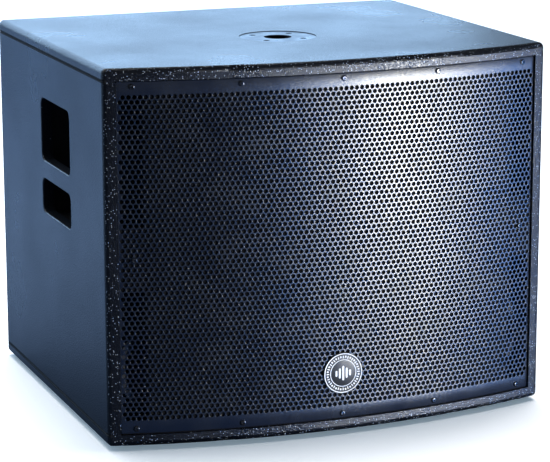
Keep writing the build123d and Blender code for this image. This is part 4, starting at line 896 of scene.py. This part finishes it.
def make_pads(material):
    """Polyester wadding, soft at its edges and lumpy on its faces."""
    for name, (low, high) in pad_boxes().items():
        bm = bmesh.new()
        bmesh.ops.create_cube(bm, size=1.0)
        bmesh.ops.subdivide_edges(bm, edges=bm.edges[:], cuts=PAD_CUTS, use_grid_fill=True)
        soften(bm, (Vector(low) + Vector(high)) / 2, Vector(high) - Vector(low))
        mesh = bpy.data.meshes.new("wadding_" + name)
        bm.to_mesh(mesh)
        bm.free()
        mesh.shade_smooth()
        mesh.materials.append(material)
        thing = bpy.data.objects.new("wadding_" + name, mesh)
        scene.collection.objects.link(thing)
        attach(thing, "cabinet")
        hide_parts("damping_pads")


# ---------------------------------------------------------------- woofer's soft parts


def on_woofer(radius, angle, forward):
    """A point on the woofer: radius and angle round its axis, and how far it stands forward."""
    return (radius * math.cos(angle), WOOFER_Y - forward, WOOFER_Z + radius * math.sin(angle))


def woofer_sectors(name, profile, material, still, moving):
    """A ring in sectors between the frame and the cone. The two radii it is given, still and moving, are not
    used.
    """
    steps = SECTOR_STEPS
    for sector in range(SECTORS):
        first = 2 * math.pi * sector / SECTORS
        points = []
        for k in range(steps + 1):
            angle = first + 2 * math.pi / SECTORS * k / steps
            points += [on_woofer(r, angle, z) for r, z in profile]
        count = len(profile)
        faces = []
        for k in range(steps):
            for i in range(count):
                a = k * count + i
                b = k * count + (i + 1) % count
                faces.append((a, b, b + count, a + count))
        faces.append(tuple(range(count))[::-1])
        faces.append(tuple(steps * count + i for i in range(count)))
        thing = piece(name + "_" + str(sector + 1), points, faces, material, body=None)
        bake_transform(thing)
        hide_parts("woofer_" + name)


SURROUND_BENDS = (0.168, 0.150)  # radii outside which it stays, and inside which it moves with the cone
SPIDER_BENDS = (0.074, 0.042)


def surround_profile():
    """Half roll with fine ribs, thin as doped cloth: (radius, forward) round its section."""
    flange, sheet, roll, middle = 0.006, 0.0012, 0.0125, 0.1625
    rib_height, ribs, steps = 0.00025, 9, 24
    rim, lip = 0.1789, 0.1441  # the outer and inner ends of its flat flanges
    upper_foot, under_foot = 0.1755, 0.1745  # where the roll meets the outer flange
    upper_neck, under_neck = 0.1495, 0.1505  # and the inner one
    ease, rise = 0.0003, 0.3 * sheet  # of the roll's upper side, inwards and off the flange
    upper = [(rim, flange + sheet), (upper_foot, flange + sheet)]
    under = [(rim, flange), (under_foot, flange)]
    for k in range(steps + 1):
        turn = math.pi * k / steps
        rib = rib_height * math.sin(ribs * turn)
        across = (roll + rib - ease) * math.cos(turn)
        upper.append((middle + across, flange + rise + (roll + rib) * math.sin(turn)))
        inside = roll - sheet + rib
        under.append((middle + inside * math.cos(turn), flange + inside * math.sin(turn)))
    upper += [(upper_neck, flange + sheet), (lip, flange + sheet)]
    under += [(under_neck, flange), (lip, flange)]
    return upper + under[::-1]


def spider_profile():
    """Round corrugations between the frame's ledge and the former: (radius, forward) round its section."""
    outer, inner, depth, sheet = 0.0819, 0.0383, -0.072, 0.0008
    flat_from, waves, half_wave, steps = 0.077, 5, 0.0010, 60
    upper, under = [], []
    for k in range(steps + 1):
        radius = outer - (outer - inner) * k / steps
        swing = 0.0
        if radius < flat_from:
            along = (flat_from - radius) / (flat_from - inner)
            swing = half_wave * (1 - math.cos(2 * math.pi * waves * along))
        upper.append((radius, depth + sheet + swing))
        under.append((radius, depth + swing))
    return upper + under[::-1]


TINSEL_RADIUS = 0.0007
# Down from the woofer's axis, away from its middle, and forward.
TINSEL_ROUTE = (
    (0.0975, 0.0060, -0.060),
    (0.0835, 0.0060, -0.063),
    (0.0540, 0.0048, -0.0658),
    (0.0440, 0.0042, -0.0618),
)


def make_tinsel(material):
    """The two braided leads that flex between the terminals and the cone's neck."""
    for way in (-1, 1):
        curve = bpy.data.curves.new("tinsel", "CURVE")
        curve.dimensions = "3D"
        curve.bevel_depth = TINSEL_RADIUS
        curve.bevel_resolution = 3
        spline = curve.splines.new("NURBS")
        spline.points.add(len(TINSEL_ROUTE) - 1)
        for point, (down, across, forward) in zip(spline.points, TINSEL_ROUTE):
            point.co = (way * across, WOOFER_Y - forward, WOOFER_Z - down, 1)
        spline.order_u = 3
        spline.use_endpoint_u = True
        holder = bpy.data.objects.new("tinsel", curve)
        mesh = bpy.data.meshes.new_from_object(holder)
        bpy.data.objects.remove(holder)
        name = "tinsel_lead_" + ("left" if way < 0 else "right")
        mesh.name = name
        mesh.materials.clear()
        mesh.materials.append(material)
        thing = bpy.data.objects.new(name, mesh)
        scene.collection.objects.link(thing)
        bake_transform(thing)
        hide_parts("tinsel_leads")


# ---------------------------------------------------------------- badge and dial marks


def lathe(profile, steps, place):
    """Points and faces of a turned solid; place maps (radius, angle, height) to the part."""
    points = []
    for k in range(steps):
        angle = 2 * math.pi * k / steps
        points += [place(r, angle, h) for r, h in profile]
    count = len(profile)
    faces = []
    for k in range(steps):
        nxt = (k + 1) % steps
        for i in range(count - 1):
            faces.append((k * count + i, k * count + i + 1, nxt * count + i + 1, nxt * count + i))
    faces.append(tuple(k * count for k in range(steps))[::-1])
    faces.append(tuple(k * count + count - 1 for k in range(steps)))
    return points, faces


def on_badge(radius, angle, proud):
    """A point on the badge: radius and angle round its middle, and how far it stands off the grille."""
    front = BOW_CENTRE - GRILLE_RADIUS
    return (radius * math.cos(angle), front - proud, BADGE_Z + radius * math.sin(angle))


class Marks:
    """Raised marks on the badge, as slabs between two heights off the grille."""

    def __init__(self):
        self.points = []
        self.faces = []

    def slab(self, corners, low, high):
        """A slab over corners given as (radius, angle), open at its hidden underside."""
        base = len(self.points)
        count = len(corners)
        for height in (low, high):
            self.points.extend(on_badge(r, a, height) for r, a in corners)
        for i in range(count):
            j = (i + 1) % count
            self.faces.append((base + i, base + j, base + count + j, base + count + i))
        self.faces.append(tuple(base + count + i for i in range(count)))

    def band(self, radii, turns, steps, low, high):
        """A stretch of a ring, between two radii and from one angle to another."""
        inner, outer = radii
        first, last = turns
        for k in range(steps):
            a = first + (last - first) * k / steps
            b = first + (last - first) * (k + 1) / steps
            self.slab([(inner, a), (outer, a), (outer, b), (inner, b)], low, high)


# The marks' heights off the grille. The rings and ticks start below the plate's faces.
MARK_BASE = 0.0015
BAR_BASE = 0.0017
TICK_TOP = 0.0021
INNER_RING_TOP = 0.0022
MARK_TOP = 0.0023  # of the outer ring and the bars
# The marks' radii, as distances in from the badge's edge.
OUTER_RING = (0.0021, 0.0009)
INNER_RING = (0.0098, 0.0089)
TICK_OUTER = 0.0042
LONG_TICK = (0.0075, 0.030)  # its inner end, and half its angle
SHORT_TICK = (0.0065, 0.046)
TICKS = 40
BARS = range(-2, 3)
BAR_PITCH = 0.0046
BAR_HALF_WIDTH = 0.0013
BAR_HALF_HEIGHT = 0.0095  # of the middle bar
BAR_STEP = 0.0028  # what each bar's half height loses against the one nearer the middle
BAR_ENDS = ((0.8, 1.57, 2.34), (3.94, 4.71, 5.48))  # angles of the points that round a bar's two ends


def badge_profile():
    """(radius, height) of the dished plate: its rim, the dish and the raised middle."""
    edge = BADGE_RADIUS
    return [
        (edge, 0.0),
        (edge, 0.0014),
        (edge - 0.0004, 0.0019),
        (edge - 0.0010, 0.0021),
        (edge - 0.0022, 0.0021),
        (edge - 0.0026, 0.0017),
        (edge - 0.0090, 0.0017),
        (edge - 0.0096, 0.0019),
        (0.0010, 0.0019),
    ]


def bar_outline(k):
    """Corners of a level bar with round ends, as (radius, angle)."""
    half = BAR_HALF_HEIGHT - BAR_STEP * abs(k)
    width = BAR_HALF_WIDTH
    x = BAR_PITCH * k
    top, bottom = BAR_ENDS
    outline = [(x + width, -half + width), (x + width, half - width)]
    outline += [(x + width * math.cos(t), half - width + width * math.sin(t)) for t in top]
    outline += [(x - width, half - width), (x - width, -half + width)]
    outline += [(x + width * math.cos(t), -half + width + width * math.sin(t)) for t in bottom]
    return [(math.hypot(u, v), math.atan2(v, u)) for u, v in outline]


def make_badge(black, metal):
    """The round badge: a black dished plate with bright rings, ticks and five level bars."""
    points, faces = lathe(badge_profile(), 96, on_badge)
    plate = piece("badge_plate", points, faces, black)
    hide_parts("badge")
    edge = BADGE_RADIUS
    whole = (0, 2 * math.pi)
    raised = Marks()
    raised.band([edge - inset for inset in OUTER_RING], whole, 96, MARK_BASE, MARK_TOP)
    raised.band([edge - inset for inset in INNER_RING], whole, 72, MARK_BASE, INNER_RING_TOP)
    for k in range(TICKS):
        middle = 2 * math.pi * k / TICKS
        inset, width = LONG_TICK if k % 2 == 0 else SHORT_TICK
        turns = (middle - width, middle + width)
        raised.band((edge - inset, edge - TICK_OUTER), turns, 2, MARK_BASE, TICK_TOP)
    for k in BARS:
        raised.slab(bar_outline(k), BAR_BASE, MARK_TOP)
    marks = piece("badge_marks", raised.points, raised.faces, metal)


DIAL_TICKS = 11
DIAL_FIRST = -150  # degrees, at the knob's lowest stop
DIAL_STEP = 30
DIAL_INNER = 0.0118
DIAL_OUTER = 0.0142
DIAL_OUTER_LONG = 0.0152  # of the ticks at both stops and the middle
DIAL_HALF_WIDTH = 0.00035
DIAL_HEIGHTS = (0.00002, 0.00012)  # above the faceplate


def make_dial_marks(material):
    """Printed scale ticks round the two knobs, from one stop to the other."""
    points, faces = [], []
    for knob in KNOB_X:
        for k in range(DIAL_TICKS):
            turn = math.radians(DIAL_FIRST + DIAL_STEP * k)
            outer = DIAL_OUTER_LONG if k in (0, DIAL_TICKS // 2, DIAL_TICKS - 1) else DIAL_OUTER
            u = Vector((math.sin(turn), math.cos(turn)))
            v = Vector((u.y, -u.x)) * DIAL_HALF_WIDTH
            base = len(points)
            for height in DIAL_HEIGHTS:
                for p in (u * DIAL_INNER - v, u * outer - v, u * outer + v, u * DIAL_INNER + v):
                    points.append((knob - p.x, FACEPLATE_Y + height, KNOB_Z + p.y))
            faces.append((base + 4, base + 5, base + 6, base + 7))
            for i in range(4):
                j = (i + 1) % 4
                faces.append((base + i, base + j, base + 4 + j, base + 4 + i))
    marks = piece("dial_marks", points, faces, material)


# ---------------------------------------------------------------- carried-over CAD nodes

FINISHES = {
    "cabinet_paint": ("top_panel", "bottom_panel", "left_side_panel", "right_side_panel", "rear_panel"),
    "inner_black": ("front_baffle", "grille_batten_top", "grille_batten_bottom", "grille_blocks"),
    "bare_plywood": ("window_brace",),
    "screw_black": ("grille_screws", "amp_screws", "woofer_bolts"),
    "screw_matt": ("pole_socket_screws",),
    "zinc_steel": (
        "badge_clips",
        "wood_screws",
        "woofer_tee_nuts",
        "top_plate",
        "back_plate",
        "level_shaft",
        "crossover_shaft",
    ),
    "cup_plastic": ("handle_cup_left", "handle_cup_right"),
    "foot_rubber": ("rubber_feet",),
    "socket_steel": ("pole_socket",),
    "port_plastic": ("port_tubes",),
    "basket_cast": ("woofer_basket",),
    "gasket_foam": ("woofer_gasket",),
    "cone_paper": ("woofer_cone", "dust_cap"),
    "coil_copper": ("voice_coil",),
    "magnet_ferrite": ("magnet",),
    "amp_black": ("amp_faceplate", "amp_heatsink"),
    "case_steel": ("amp_case",),
    "circuit_board": ("amp_board",),
    "capacitor_sleeve": ("capacitors",),
    "transformer_wrap": ("transformer",),
    "connector_black": (
        "terminal_block",
        "input_sockets",
        "output_sockets",
        "mains_inlet",
        "power_switch_housing",
        "potentiometers",
        "phase_switch",
    ),
    "knob_plastic": ("level_knob", "crossover_knob", "phase_button", "latch_a", "latch_b"),
    "rocker_red": ("power_rocker",),
    "lamp_lens": ("status_leds",),
    "lead_black": ("speaker_lead",),
}


def finish_nodes(mats):
    """Gives every carried-over CAD node its finish."""
    for name, members in FINISHES.items():
        for member in members:
            for slot in nodes[member].material_slots:
                slot.material = mats[name]


def main():
    make_camera()
    make_studio()
    mats = make_materials()
    finish_nodes(mats)
    make_grille(mats["grille_black"])
    make_foam(mats["foam_black"])
    make_pads(mats["wadding"])
    woofer_sectors("surround", surround_profile(), mats["surround_cloth"], *SURROUND_BENDS)
    woofer_sectors("spider", spider_profile(), mats["spider_cloth"], *SPIDER_BENDS)
    make_tinsel(mats["coil_copper"])
    make_badge(mats["badge_black"], mats["badge_metal"])
    make_dial_marks(mats["dial_white"])


main()
